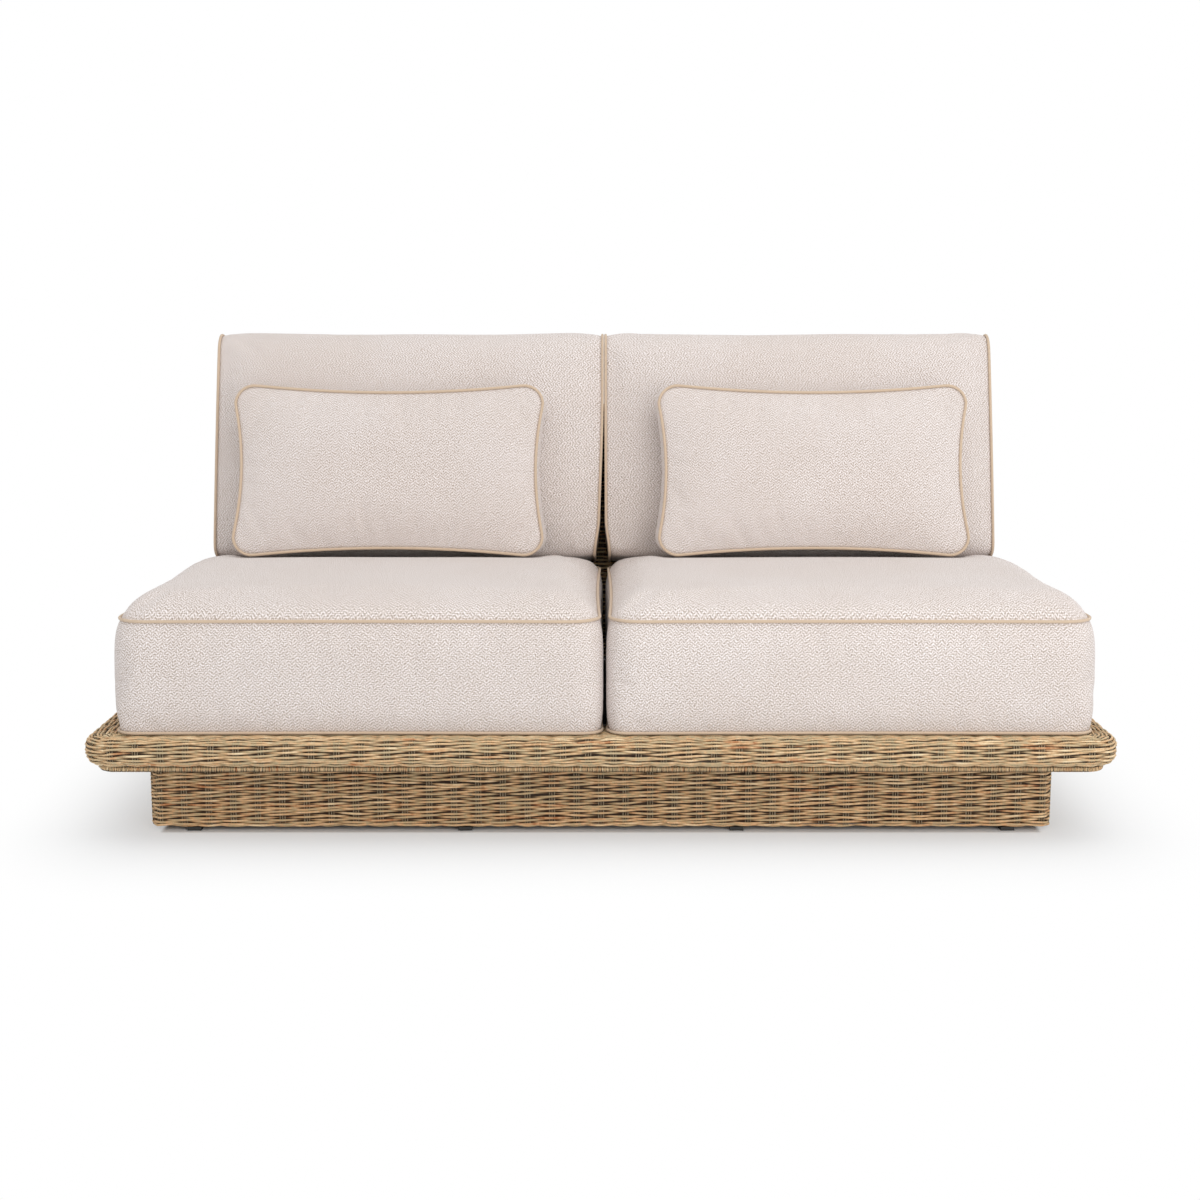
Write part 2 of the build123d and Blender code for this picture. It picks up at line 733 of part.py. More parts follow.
def cushion_profile(side, x, inset, draw, crown):
    """A cross-section of a back cushion: flat rear, crowned front, rounded top."""
    rear = cushion_rear + inset + draw
    front = cushion_rear + cushion_gusset - inset - draw
    low = cushion_lift + inset + draw
    high = cushion_lift + cushion_height - inset - draw
    top_front = cushion_top_front - inset
    top_rear = cushion_top_rear - inset
    foot_front = cushion_bottom_front - inset
    foot_rear = cushion_bottom_rear - inset
    plane = Plane(origin=lean_plane.from_local_coords((x, 0, 0)), x_dir=front_of_lean, z_dir=(-1, 0, 0))
    with BuildSketch(plane) as face:
        with BuildLine():
            Line((rear, high - top_rear), (rear, low + foot_rear))
            ThreePointArc((rear, low + foot_rear), (rear + foot_rear * arc_share, low + foot_rear * arc_share),
                          (rear + foot_rear, low))
            Line((rear + foot_rear, low), (front - foot_front, low))
            ThreePointArc((front - foot_front, low),
                          (front - foot_front * arc_share, low + foot_front * arc_share),
                          (front, low + foot_front))
            ThreePointArc((front, low + foot_front), (front + crown, (low + high) * half),
                          (front, high - top_front))
            ThreePointArc((front, high - top_front),
                          (front - top_front * arc_share, high - top_front * arc_share),
                          (front - top_front, high))
            ThreePointArc((front - top_front, high),
                          ((rear + top_rear + front - top_front) * half, high + crown * top_crown_share),
                          (rear + top_rear, high))
            ThreePointArc((rear + top_rear, high),
                          (rear + top_rear * arc_share, high - top_rear * arc_share),
                          (rear, high - top_rear))
        make_face()
    return face.sketch


def cushion_form(side):
    """A back cushion's form: the same crowned section along it, drawn in at both ends."""
    middle = cushion_middle(side)
    reach = cushion_width * half
    near = reach - cushion_end_run
    least = cushion_crown * least_crown_share
    with BuildPart() as form:
        extrude(cushion_profile(side, middle, 0, 0, cushion_crown), amount=near, both=True)
        for way in (-1, 1):
            loft([cushion_profile(side, middle + way * near, 0, 0, cushion_crown),
                  cushion_profile(side, middle + way * reach, 0, cushion_draw_in, least)], ruled=True)
    return form.part


def cushion_block(side, inset):
    """The straight-sided form of a back cushion's filling, an inset inside its cover."""
    draw = cushion_draw_in + inset
    rear = cushion_rear + draw
    front = cushion_rear + cushion_gusset - draw
    low = cushion_lift + draw
    high = cushion_lift + cushion_height - draw
    origin = lean_plane.from_local_coords((cushion_middle(side), 0, 0))
    with BuildPart() as block:
        with BuildSketch(Plane(origin=origin, x_dir=front_of_lean, z_dir=(-1, 0, 0))) as face:
            Polygon((rear, high - cushion_top_rear), (rear, low + cushion_bottom_rear),
                    (rear + cushion_bottom_rear, low), (front - cushion_bottom_front, low),
                    (front, low + cushion_bottom_front), (front, high - cushion_top_front),
                    (front - cushion_top_front, high), (rear + cushion_top_rear, high), align=None)
        extrude(face.sketch, amount=cushion_width * half - draw, both=True)
    return block.part


def pillow_foot(depth):
    """How far up the lean a level foot lies, at a depth before the leaning plane."""
    return (seat_top + pillow_lift - deck_height - depth * math.sin(slope)) / math.cos(slope)


def pillow_corners(side, depth, inset):
    """Two opposite corners of a pillow's outline before the leaning plane; its foot stays level."""
    middle = pillow_middle(side)
    low = (middle - pillow_width * half + inset, pillow_foot(depth) + inset)
    high = (middle + pillow_width * half - inset, pillow_foot(pillow_front_seam) + pillow_height - inset)
    return low, high


def pillow_section(side, depth, inset, growth):
    """An outline of a pillow at a depth, with sides that draw in."""
    low, high = pillow_corners(side, depth, inset - growth)
    return drawn_outline(lean_plane.offset(depth), low, high, pillow_corner + growth, pillow_pull)


def pillow_views(side):
    """Planes to draw a pillow's depth on: along the sofa, and up the lean."""
    along = Plane(origin=lean_plane.origin, x_dir=(1, 0, 0), z_dir=-lean_plane.y_dir)
    upward = Plane(origin=lean_plane.from_local_coords((pillow_middle(side), 0, 0)),
                   x_dir=lean_plane.y_dir, z_dir=(1, 0, 0))
    return along, upward


def pillow_form(side):
    """A pillow's boxed form with crowned faces."""
    middle = (pillow_rear_seam + pillow_front_seam) * half
    gusset = [(pillow_rear_seam, pillow_draw_in), (middle, 0), (pillow_front_seam, pillow_draw_in)]
    with BuildPart() as face_crown:
        extrude(pillow_section(side, pillow_front_seam, pillow_draw_in, 0), amount=pillow_front_crown)
        low, high = pillow_corners(side, pillow_front_seam, pillow_draw_in)
        for view, start, end in zip(pillow_views(side), low, high):
            profile = crown_profile(view, start, end, pillow_front_seam, pillow_shoulder_run,
                                    pillow_shoulder_rise, pillow_front_crown)
            extrude(profile, amount=sofa_width, both=True, mode=Mode.INTERSECT)
    with BuildPart() as rear_crown:
        extrude(pillow_section(side, pillow_rear_seam, pillow_draw_in, 0), amount=-pillow_rear_crown)
        low, high = pillow_corners(side, pillow_rear_seam, pillow_draw_in)
        rear = pillow_rear_seam - pillow_rear_crown
        for view, start, end in zip(pillow_views(side), low, high):
            with BuildSketch(view) as profile:
                Polygon((start, pillow_rear_seam), (end, pillow_rear_seam), (end - pillow_rear_run, rear),
                        (start + pillow_rear_run, rear), align=None)
            extrude(profile.sketch, amount=sofa_width, both=True, mode=Mode.INTERSECT)
    with BuildPart() as form:
        loft([pillow_section(side, depth, draw, 0) for depth, draw in gusset], ruled=True)
        add(face_crown.part)
        add(rear_crown.part)
    return form.part


def pillow_block(side, inset):
    """The straight-sided form of a pillow's filling, an inset inside its cover."""
    draw = pillow_draw_in + pillow_pull + inset
    rear = pillow_rear_seam - pillow_rear_crown + inset
    front = pillow_front_seam + pillow_front_crown - inset
    low, high = pillow_corners(side, pillow_rear_seam, draw)
    with BuildPart() as block:
        extrude(straight_outline(lean_plane.offset(rear), low, high, pillow_corner), amount=front - rear)
        for view, start, end in zip(pillow_views(side), low, high):
            with BuildSketch(view) as profile:
                Polygon((start, pillow_rear_seam + inset), (start + pillow_rear_run, rear),
                        (end - pillow_rear_run, rear), (end, pillow_rear_seam + inset),
                        (end, pillow_front_seam - inset),
                        (end - pillow_shoulder_run, pillow_front_seam + pillow_shoulder_rise - inset),
                        ((start + end) * half, front),
                        (start + pillow_shoulder_run, pillow_front_seam + pillow_shoulder_rise - inset),
                        (start, pillow_front_seam - inset), align=None)
            extrude(profile.sketch, amount=sofa_width, both=True, mode=Mode.INTERSECT)
    return block.part


def zip_cut(plane, length, width, depth):
    """A straight channel from outside a cover to a depth under it."""
    with BuildPart() as channel:
        with BuildSketch(plane.offset(overrun)):
            Rectangle(length, width)
        extrude(amount=-(overrun + depth))
    return channel.part


def make_cushion(label, outside, block, rings, plane, wall_at_zip, zip_length):
    """One cushion's cover, filling, piping and zip; block gives the form inside at an inset."""
    depth = wall_at_zip + zip_sink
    lining = block(cover)
    filling = block(cover + fit)
    tape_length = zip_length + 2 * tape_width
    slot = zip_cut(plane, zip_length, slot_width, wall_at_zip + fit)
    channel = zip_cut(plane, tape_length + 2 * fit, tape_width + 2 * fit, depth + tape_thickness + fit)
    with BuildPart() as cushion_cover:
        add(outside)
        add(lining, mode=Mode.SUBTRACT)
        add(slot, mode=Mode.SUBTRACT)
    save(cushion_cover, f"{label}_cover")
    with BuildPart() as cushion_filling:
        add(filling)
        add(channel, mode=Mode.SUBTRACT)
    save(cushion_filling, f"{label}_foam")
    with BuildPart() as cushion_piping:
        for ring in rings:
            add(ring)
    save(cushion_piping, f"{label}_piping")
    tape_top = plane.offset(-depth)
    with BuildPart() as cushion_zip:
        with BuildSketch(tape_top):
            Rectangle(tape_length, tape_width)
        extrude(amount=-tape_thickness)
        with BuildSketch(tape_top):
            Rectangle(zip_length, coil_width)
        extrude(amount=coil_height)
    save(cushion_zip, f"{label}_zip")
    start = slider_length - zip_length * half
    with BuildPart() as cushion_slider:
        with BuildSketch(tape_top.offset(slider_clearance)):
            with Locations((start, 0)):
                Rectangle(slider_length, slider_width)
        extrude(amount=coil_height + slider_cap)
        with BuildSketch(tape_top):
            with Locations((start, 0)):
                Rectangle(2 * slider_length, coil_width + 2 * slider_clearance)
        extrude(amount=coil_height + slider_clearance, mode=Mode.SUBTRACT)
        with BuildSketch(tape_top.offset(coil_height + slider_cap + slider_clearance)):
            with Locations((start + tab_length * half, 0)):
                Rectangle(tab_length, tab_width)
        extrude(amount=tab_thickness)
    save(cushion_slider, f"{label}_zip_slider")


def make_seat(name, side):
    """A seat cushion, with piping round its top and bottom seams."""
    inset = seat_draw_in - piping_gap - piping_radius
    rings = [piping_ring(lambda offset, rise: seat_outline(
        side, level + rise, inset - offset, inset - offset, seat_corner + offset))
        for level in (seat_bottom + piping_radius + fit, seat_seam + fit)]
    plane = Plane(origin=(seat_middle(side), seat_rear, (seat_bottom + seat_seam) * half),
                  x_dir=(1, 0, 0), z_dir=(0, 1, 0))
    make_cushion(f"seat_{name}", seat_form(side), lambda inset: seat_block(side, inset), rings, plane,
                 seat_draw_in + side_pull + cover, seat_zip_length)


def make_back_cushion(name, side):
    """A back cushion, whose front wraps over its top, with piping round both end gussets."""
    middle = cushion_middle(side)
    inset = cushion_draw_in - piping_gap - piping_radius
    reach = (cushion_width + cushion_gap - fit) * half - piping_radius
    rings = [piping_ring(lambda offset, rise: cushion_profile(
        side, x + rise, -offset, inset, least_crown_share * cushion_crown))
        for x in (middle - reach, middle + reach)]
    origin = lean_plane.from_local_coords((middle, cushion_lift + cushion_zip_height, cushion_rear))
    plane = Plane(origin=origin, x_dir=(1, 0, 0), z_dir=-lean_plane.z_dir)
    make_cushion(f"back_{name}", cushion_form(side), lambda inset: cushion_block(side, inset), rings,
                 plane, cushion_draw_in + cover, cushion_zip_length)


def make_pillow(name, side):
    """A small boxed pillow, with piping round its front face."""
    middle = pillow_middle(side)
    inset = pillow_draw_in - piping_gap - piping_radius
    ring = piping_ring(lambda offset, rise: pillow_section(side, pillow_front_seam + rise, inset, offset))
    lift = pillow_foot(pillow_front_seam) + pillow_height * half
    origin = lean_plane.from_local_coords((middle, lift, pillow_rear_seam - pillow_rear_crown))
    plane = Plane(origin=origin, x_dir=(1, 0, 0), z_dir=-lean_plane.z_dir)
    make_cushion(f"pillow_{name}", pillow_form(side), lambda inset: pillow_block(side, inset), [ring],
                 plane, cover, pillow_zip_length)


def main():
    make_tray_weave()
    make_tray_binding()
    make_plinth_weave()
    make_plinth_rails()
    make_plinth_posts()
    make_post_plates()
    make_deck_rails()
    make_deck_bearers()
    make_back_rail()
    make_nose_tubes()
    make_nose_struts()
    make_seat_webbing()
    make_back_weave()
    make_back_frame()
    make_fasteners()
    make_glides()
    make_glide_screws()
    for name, side in sides.items():
        make_seat(name, side)
        make_back_cushion(name, side)
        make_pillow(name, side)


main()
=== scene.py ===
import json
import math

import bmesh
import bpy
from bpy.props import FloatProperty, FloatVectorProperty, IntProperty, PointerProperty
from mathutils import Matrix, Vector, noise


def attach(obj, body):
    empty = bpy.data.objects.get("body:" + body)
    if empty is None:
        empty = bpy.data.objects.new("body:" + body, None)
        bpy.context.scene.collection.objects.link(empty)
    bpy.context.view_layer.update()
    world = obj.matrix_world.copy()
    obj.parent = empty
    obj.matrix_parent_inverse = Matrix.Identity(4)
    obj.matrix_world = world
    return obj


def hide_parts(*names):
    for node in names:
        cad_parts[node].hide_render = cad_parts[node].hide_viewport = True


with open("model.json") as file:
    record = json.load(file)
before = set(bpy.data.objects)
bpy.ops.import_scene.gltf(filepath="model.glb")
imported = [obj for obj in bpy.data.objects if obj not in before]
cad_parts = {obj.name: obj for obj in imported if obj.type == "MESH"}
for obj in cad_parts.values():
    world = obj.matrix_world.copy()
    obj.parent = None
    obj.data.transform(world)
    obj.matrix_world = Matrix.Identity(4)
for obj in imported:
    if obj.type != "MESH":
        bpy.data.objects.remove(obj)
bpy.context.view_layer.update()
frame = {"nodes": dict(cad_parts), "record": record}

bl_info = {
    "name": "Garden sofa",
    "version": (1, 0, 0),
    "blender": (4, 5, 0),
    "location": "View3D > Sidebar > Sofa",
    "description": "Woven tray, plinth and back with six loose cushions, dressed on the packed frame",
    "category": "Object",
}

# Metres. X runs along the sofa, -Y is its front, +Z is up.
DECK = 0.2
TRAY_X, TRAY_Y, TRAY_CORNER, NOSE = 0.95, 0.51, 0.06, 0.022
TRAY = (TRAY_X, TRAY_Y, TRAY_CORNER)
TRAY_BOTTOM = 0.145
RIM_DEPTH = 0.118
PLINTH = (0.848, 0.408, 0.02)
PLINTH_FOOT, PLINTH_BEVEL, LIP = 0.007, 0.006, 0.027
BINDING_INSET, BINDING_LEVEL = 0.03, 0.1388
LEAN = math.radians(15)
BACK_LINE, BACK_X, BACK_DEPTH, BACK_HEIGHT = 0.272, 0.83, 0.05, 0.5798
BACK_CORNER, BACK_EDGE = 0.06, 0.02
SHIFT = 0.007
PILLOW_MIDDLE = 0.445
SIDES = {"left": -1, "right": 1}
WHITE = (1.0, 1.0, 1.0)


def lean(x, rise, forward):
    """A place on the leaning back: along it, up it, and in front of it."""
    return Vector((x, BACK_LINE + rise * math.sin(LEAN) - forward * math.cos(LEAN),
                   DECK + rise * math.cos(LEAN) + forward * math.sin(LEAN)))


def lean_way(x, rise, forward):
    """A way on the leaning back, as from its foot to a place on it."""
    return lean(x, rise, forward) - lean(0, 0, 0)


UPWARD, FORWARD = lean_way(0, 1, 0), lean_way(0, 0, 1)


def tint(code):
    """A colour written as on screen, made linear."""
    shares = [int(code[k:k + 2], 16) / 255 for k in (0, 2, 4)]
    return tuple(c / 12.92 if c < 0.04045 else ((c + 0.055) / 1.055) ** 2.4 for c in shares)


def times(tone, factor):
    """A colour made darker or lighter."""
    return tuple(min(1.0, factor * c) for c in tone)


def colour(name, text, code):
    return FloatVectorProperty(name=name, description=text, default=tint(code), size=3,
                               min=0, max=1, subtype="COLOR")


def length(name, text, value):
    return FloatProperty(name=name, description=text, default=value, min=0, unit="LENGTH", subtype="DISTANCE")


def power(name, text, value):
    return FloatProperty(name=name, description=text, default=value, min=0, unit="POWER")


class SofaWeave(bpy.types.PropertyGroup):
    row_pitch: length("Row pitch", "Distance between neighbouring strands", 0.0042)
    strand: length("Strand radius", "Radius of a strand where it runs straight", 0.0021)
    swing: length("Swing", "How far a strand moves out and in round the stakes", 0.0020)
    wander: length("Wander", "How far a strand strays from its row", 0.0013)
    stake: length("Stake radius", "Radius of the thin rods that stand behind the strands", 0.0012)
    steps: IntProperty(name="Steps", description="Points of a strand between two stakes", default=4, min=2,
                       max=8)
    seed: IntProperty(name="Seed", description="Fixes the strands' irregularity", default=7)
    straw: colour("Straw", "The lightest strands", "F6E3BF")
    tan: colour("Tan", "The most common strand colour", "E2BF94")
    grey: colour("Green grey", "Weathered strands", "C8B896")
    brown: colour("Brown", "Reddish strands", "C08458")
    # The gap colour is painted shade: the dark seen between the strands stands for the shaded hollow inside
    # the weave.
    gap: colour("Gap", "The dark ground behind the weave", "2A1D12")


class SofaCushions(bpy.types.PropertyGroup):
    panel: length("Panel pitch", "Mesh spacing on the cushions' panels", 0.0115)
    piping: length("Piping radius", "Radius of the cord in the seams", 0.003)
    swell: length("Most swell", "How far the filling may push a panel out", 0.006)
    pressure: FloatProperty(name="Pressure", description="Pressure of the filling", default=3.0, min=0,
                            max=20)
    pale: colour("Pale thread", "The fabric's light thread", "F7F1F1")
    ground: colour("Ground", "The fabric's middle tone", "DACFC9")
    dark: colour("Tan thread", "The fabric's darker thread", "A99B8F")
    cord: colour("Piping", "The piping's colour", "D6BFA6")


class SofaStage(bpy.types.PropertyGroup):
    lens: FloatProperty(name="Lens", description="Focal length of the camera", default=55.57, min=10,
                        unit="CAMERA", subtype="DISTANCE_CAMERA")
    pitch: FloatProperty(name="Pitch", description="How far the camera looks down",
                         default=math.radians(9.14), subtype="ANGLE")
    place: FloatVectorProperty(name="Camera place", description="Where the camera stands",
                               default=(-0.0017, -3.776, 0.982), size=3, subtype="TRANSLATION")
    ambient: FloatProperty(name="Ambient", description="Strength of the room's even light", default=0.86,
                           min=0)
    key: power("Key lamp", "Power of the large lamp overhead", 28)
    fill: power("Front lamp", "Power of the low lamp in front", 47)


# Node building

class Link:
    """A node's output that takes part in sums."""

    def __init__(self, graph, socket):
        self.graph, self.socket = graph, socket

    def maths(self, operation, *values):
        return self.graph.node("ShaderNodeMath", {"operation": operation}, dict(enumerate(values)))

    def __add__(self, other):
        return self.maths("ADD", self, other)

    __radd__ = __add__

    def __mul__(self, other):
        return self.maths("MULTIPLY", self, other)

    __rmul__ = __mul__

    def __sub__(self, other):
        return self.maths("SUBTRACT", self, other)

    def __rsub__(self, other):
        return self.maths("SUBTRACT", other, self)

    def __truediv__(self, other):
        return self.maths("DIVIDE", self, other)

    def power(self, other):
        return self.maths("POWER", self, other)

    def sine(self):
        return self.maths("SINE", self)

    def between(self, low, high):
        """Ease from 0 at low to 1 at high."""
        return self.graph.node("ShaderNodeMapRange", {"interpolation_type": "SMOOTHSTEP"},
                               {"Value": self, "From Min": low, "From Max": high})


class Graph:
    """A node tree and one way to add any node to it."""

    def __init__(self, tree):
        self.tree = tree

    def node(self, kind, settings=None, inputs=None, output=0):
        made = self.tree.nodes.new(kind)
        for name, value in (settings or {}).items():
            if name == "stops":
                ramp = made.color_ramp
                while len(ramp.elements) < len(value):
                    ramp.elements.new(0.5)
                for stop, (place, shade) in zip(ramp.elements, value):
                    stop.position, stop.color = place, (*shade, 1)
            else:
                setattr(made, name, value)
        for key, value in (inputs or {}).items():
            if isinstance(value, Link):
                self.tree.links.new(value.socket, made.inputs[key])
            elif made.inputs[key].type == "RGBA":
                made.inputs[key].default_value = (*value, 1)
            else:
                made.inputs[key].default_value = value
        return Link(self, made.outputs[output])

    def attribute(self, name):
        return self.node("ShaderNodeAttribute", {"attribute_name": name}, output=2)

    def place(self):
        return self.node("ShaderNodeTexCoord", output=3)

    def vector(self, x, y, z):
        return self.node("ShaderNodeCombineXYZ", inputs={0: x, 1: y, 2: z})

    def split(self, vector):
        """A vector's three parts."""
        parts = self.tree.nodes.new("ShaderNodeSeparateXYZ")
        self.tree.links.new(vector.socket, parts.inputs[0])
        return [Link(self, part) for part in parts.outputs]

    def noise(self, vector, scale, detail=2.0, roughness=0.5):
        return self.node("ShaderNodeTexNoise", inputs={"Vector": vector, "Scale": scale, "Detail": detail,
                                                       "Roughness": roughness})

    def mix(self, factor, first, second, blend="MIX"):
        return self.node("ShaderNodeMix", {"data_type": "RGBA", "blend_type": blend},
                         {0: factor, 6: first, 7: second}, output=2)

    def shaded(self, tone, shade):
        """A colour multiplied by another."""
        return self.mix(1.0, tone, shade, "MULTIPLY")

    def ramp(self, value, stops):
        return self.node("ShaderNodeValToRGB", {"stops": stops}, {0: value})


def socket_name(key):
    """A surface socket's name for a keyword."""
    return "IOR" if key == "ior" else key.replace("_", " ").title()


class Finish(Graph):
    """A material with one principled surface."""

    def __init__(self, name, **constants):
        self.material = bpy.data.materials.new(name)
        self.material.use_nodes = True
        super().__init__(self.material.node_tree)
        self.tree.nodes.clear()
        self.surface = self.tree.nodes.new("ShaderNodeBsdfPrincipled")
        output = self.tree.nodes.new("ShaderNodeOutputMaterial")
        self.tree.links.new(self.surface.outputs[0], output.inputs[0])
        for key, value in constants.items():
            self.surface.inputs[socket_name(key)].default_value = value

    def paint(self, **links):
        for key, value in links.items():
            self.tree.links.new(value.socket, self.surface.inputs[socket_name(key)])
        return self.material

    def bump(self, height, distance, strength=1.0):
        return self.node("ShaderNodeBump",
                         inputs={"Strength": strength, "Distance": distance, "Height": height})


# Finishes

def weave_finish(weave, name="Woven strand", shade=(1.07, 1.05, 1.03)):
    """Strands in straw, tan, green grey and brown, each with its own streaks, with painted shade where they
    dip in behind the stakes.
    """
    f = Finish(name, roughness=0.6, ior=1.45)
    run, row, lift = f.attribute("run"), f.attribute("row"), f.attribute("lift")
    strand = f.noise(f.vector(run * 0.22, row * 5.3, 0.0), 1.0, 2.0, 0.6)
    streak = f.noise(f.vector(run * 2.1, row * 9.1, 4.0), 1.0, 3.0, 0.65)
    tone = f.ramp(strand * 0.62 + streak * 0.38,
                  [(0.35, weave.brown), (0.43, weave.tan), (0.49, weave.grey), (0.54, weave.tan),
                   (0.63, weave.straw)])
    fibre = f.noise(f.place(), 900.0, 3.0, 0.7)
    tone = f.mix(fibre.between(0.3, 0.75), f.shaded(tone, (0.80, 0.76, 0.70)), tone)
    # Painted shade: a strand is coloured darker where it dips in behind the stakes.
    clear_of_painted_shade = (lift * 0.5 + 0.5).between(0.05, 0.75)
    tone = f.mix(clear_of_painted_shade, f.shaded(tone, (0.40, 0.34, 0.28)), tone)
    # The last multiplier tunes the strands' colour. The plinth's copy is also painted lighter, as painted
    # light.
    return f.paint(base_color=f.shaded(tone, shade), roughness=0.5 + streak * 0.25,
                   normal=f.bump(fibre, 0.0006, 0.6))


def shade_sheet_finish(weave):
    """A sheet behind the strands, painted dark with a faint grain: painted shade for the shaded hollow inside
    the weave.
    """
    f = Finish("Weave ground", ior=1.4)
    grain = f.noise(f.place(), 260.0, 3.0, 0.6)
    tone = f.mix(grain.between(0.35, 0.7), weave.gap, times(weave.gap, 1.9))
    return f.paint(base_color=tone, roughness=0.7 + grain * 0.2, normal=f.bump(grain, 0.001, 0.7))


def stake_finish(weave):
    """The thin rods behind the strands."""
    f = Finish("Stake rod", ior=1.4)
    grain = f.noise(f.place(), 320.0, 3.0, 0.6)
    # Painted shade: the rods are coloured far darker than the strands, for the shade they stand in behind
    # them.
    tone = f.mix(grain.between(0.3, 0.7), times(weave.tan, 0.25), times(weave.straw, 0.42))
    return f.paint(base_color=tone, roughness=0.6 + grain * 0.2, normal=f.bump(grain, 0.0006, 0.6))


def fabric_finish(cushions):
    """A basket weave whose short floats slant one way and then the other."""
    slant_pitch, float_pitch, block_pitch, thread_pitch = 0.0062, 0.0084, 0.0135, 0.0031
    f = Finish("Woven fabric", sheen_weight=0.25, sheen_roughness=0.5, ior=1.4)
    at = f.node("ShaderNodeUVMap", {"uv_map": "weave"})
    u, v, _ = f.split(at)
    stray = (f.noise(at, 110.0, 2.0, 0.5) - 0.5) * 1.6
    turned = (u / block_pitch + stray * 0.5 + f.noise(at, 30.0, 1.0) * 1.1) * math.tau
    turned = turned.sine().between(-0.25, 0.25)
    rising, falling = (((way / slant_pitch + stray) * math.tau).sine() *
                       ((across * (math.tau / float_pitch)).sine() * 0.45 + 0.55)
                       for way, across in ((u + v, u - v), (u - v, u + v)))
    twill = rising * turned + falling * (1.0 - turned)
    thread = ((v / thread_pitch + stray * 0.5) * math.tau).sine()
    speck = f.noise(at, 420.0, 2.0, 0.6)
    value = twill * 0.42 + thread * 0.12 + (speck - 0.5) * 1.5 + 0.5
    tone = f.ramp(value, [(0.19, cushions.dark), (0.5, cushions.ground), (0.81, cushions.pale)])
    cloud = f.noise(f.place(), 5.0, 2.0, 0.5)
    tone = f.mix(cloud.between(0.35, 0.65), f.shaded(tone, (0.975, 0.965, 0.955)), tone)
    height = twill * 0.5 + thread * 0.2 + speck
    return f.paint(base_color=tone, roughness=0.86 + speck * 0.1, normal=f.bump(height, 0.0006, 0.32))


def cord_finish(cushions):
    """Tan piping cloth with a fine slanting twill."""
    twill_pitch = 0.0016
    f = Finish("Piping cloth", sheen_weight=0.2, ior=1.4)
    run, lap = f.attribute("run"), f.noise(f.place(), 900.0, 2.0, 0.6)
    twill = (run * (math.tau / twill_pitch) + lap * 3.0).sine()
    tone = f.mix((twill * 0.5 + 0.5) * 0.6 + lap * 0.4, times(cushions.cord, 0.82),
                 times(cushions.cord, 1.12))
    return f.paint(base_color=tone, roughness=0.85 + lap * 0.1, normal=f.bump(twill + lap, 0.0003, 0.5))


def metal_finish(name, base, roughness, metallic, grain_scale):
    """Metal or its powder coat, with fine grain and faint wear."""
    f = Finish(name, metallic=metallic, ior=1.5)
    grain = f.noise(f.place(), grain_scale, 3.0, 0.6)
    cloud = f.noise(f.place(), 9.0, 3.0, 0.5)
    tone = f.mix(cloud.between(0.3, 0.7), times(base, 0.86), base)
    tone = f.mix(grain.between(0.6, 0.8), tone, times(base, 1.25))
    return f.paint(base_color=tone, roughness=roughness + (grain - 0.5) * 0.25,
                   normal=f.bump(grain, 0.0003, 0.35))


def webbing_finish():
    """Black elastic webbing with ribs along and across."""
    rib_pitch = 0.004
    f = Finish("Elastic webbing", ior=1.4)
    x, y, _ = f.split(f.place())
    rib = (x * (math.tau / rib_pitch)).sine() * (y * (math.tau / rib_pitch)).sine()
    fuzz = f.noise(f.place(), 500.0, 2.0, 0.6)
    tone = f.mix((rib * 0.3 + fuzz).between(0.3, 0.9), (0.012, 0.012, 0.013), (0.05, 0.048, 0.045))
    return f.paint(base_color=tone, roughness=0.75 + fuzz * 0.2, normal=f.bump(rib + fuzz, 0.0005, 0.6))


def foam_finish():
    """Cut foam with open cells."""
    f = Finish("Cut foam", ior=1.3)
    cell = f.node("ShaderNodeTexVoronoi", inputs={"Vector": f.place(), "Scale": 420.0})
    # Painted shade: each pore is coloured darker than the cell walls round it.
    tone = f.mix(cell.between(0.1, 0.6), tint("C9BE98"), tint("EDE6CC"))
    return f.paint(base_color=tone, roughness=0.9 - cell * 0.1, normal=f.bump(cell, 0.001, 0.6))


def tape_finish():
    """A zip's woven tape and its coil."""
    tooth_pitch = 0.0016
    f = Finish("Zip tape", ior=1.4)
    x, _, _ = f.split(f.place())
    tooth = (x * (math.tau / tooth_pitch)).sine()
    fuzz = f.noise(f.place(), 700.0, 2.0, 0.6)
    tone = f.mix((tooth * 0.4 + fuzz).between(0.1, 0.9), tint("8F8372"), tint("CDBFA6"))
    return f.paint(base_color=tone, roughness=0.6 + fuzz * 0.3, normal=f.bump(tooth + fuzz, 0.0004, 0.7))


def nylon_finish():
    """Moulded nylon with a fine spark grain."""
    f = Finish("Moulded nylon", ior=1.5)
    grain = f.noise(f.place(), 1200.0, 3.0, 0.7)
    tone = f.mix(grain, (0.012, 0.012, 0.012), (0.035, 0.033, 0.03))
    return f.paint(base_color=tone, roughness=0.45 + grain * 0.25, normal=f.bump(grain, 0.0003, 0.5))


def finish_named(name, maker, *given):
    """The finish of a name, made when it's first asked for."""
    return bpy.data.materials.get(name) or maker(*given)


# Geometry node trees

def group_tree(name, sockets):
    """A geometry tree with named inputs; gives its graph, the inputs, and the guide lines as curves."""
    tree = bpy.data.node_groups.new(name, "GeometryNodeTree")
    tree.interface.new_socket("Geometry", in_out="INPUT", socket_type="NodeSocketGeometry")
    for label, kind in sockets:
        tree.interface.new_socket(label, in_out="INPUT", socket_type=f"NodeSocket{kind}")
    tree.interface.new_socket("Geometry", in_out="OUTPUT", socket_type="NodeSocketGeometry")
    graph = Graph(tree)
    group = tree.nodes.new("NodeGroupInput")
    given = {socket.name: Link(graph, socket) for socket in group.outputs if socket.name}
    return graph, given, graph.node("GeometryNodeMeshToCurve", inputs={"Mesh": given["Geometry"]})


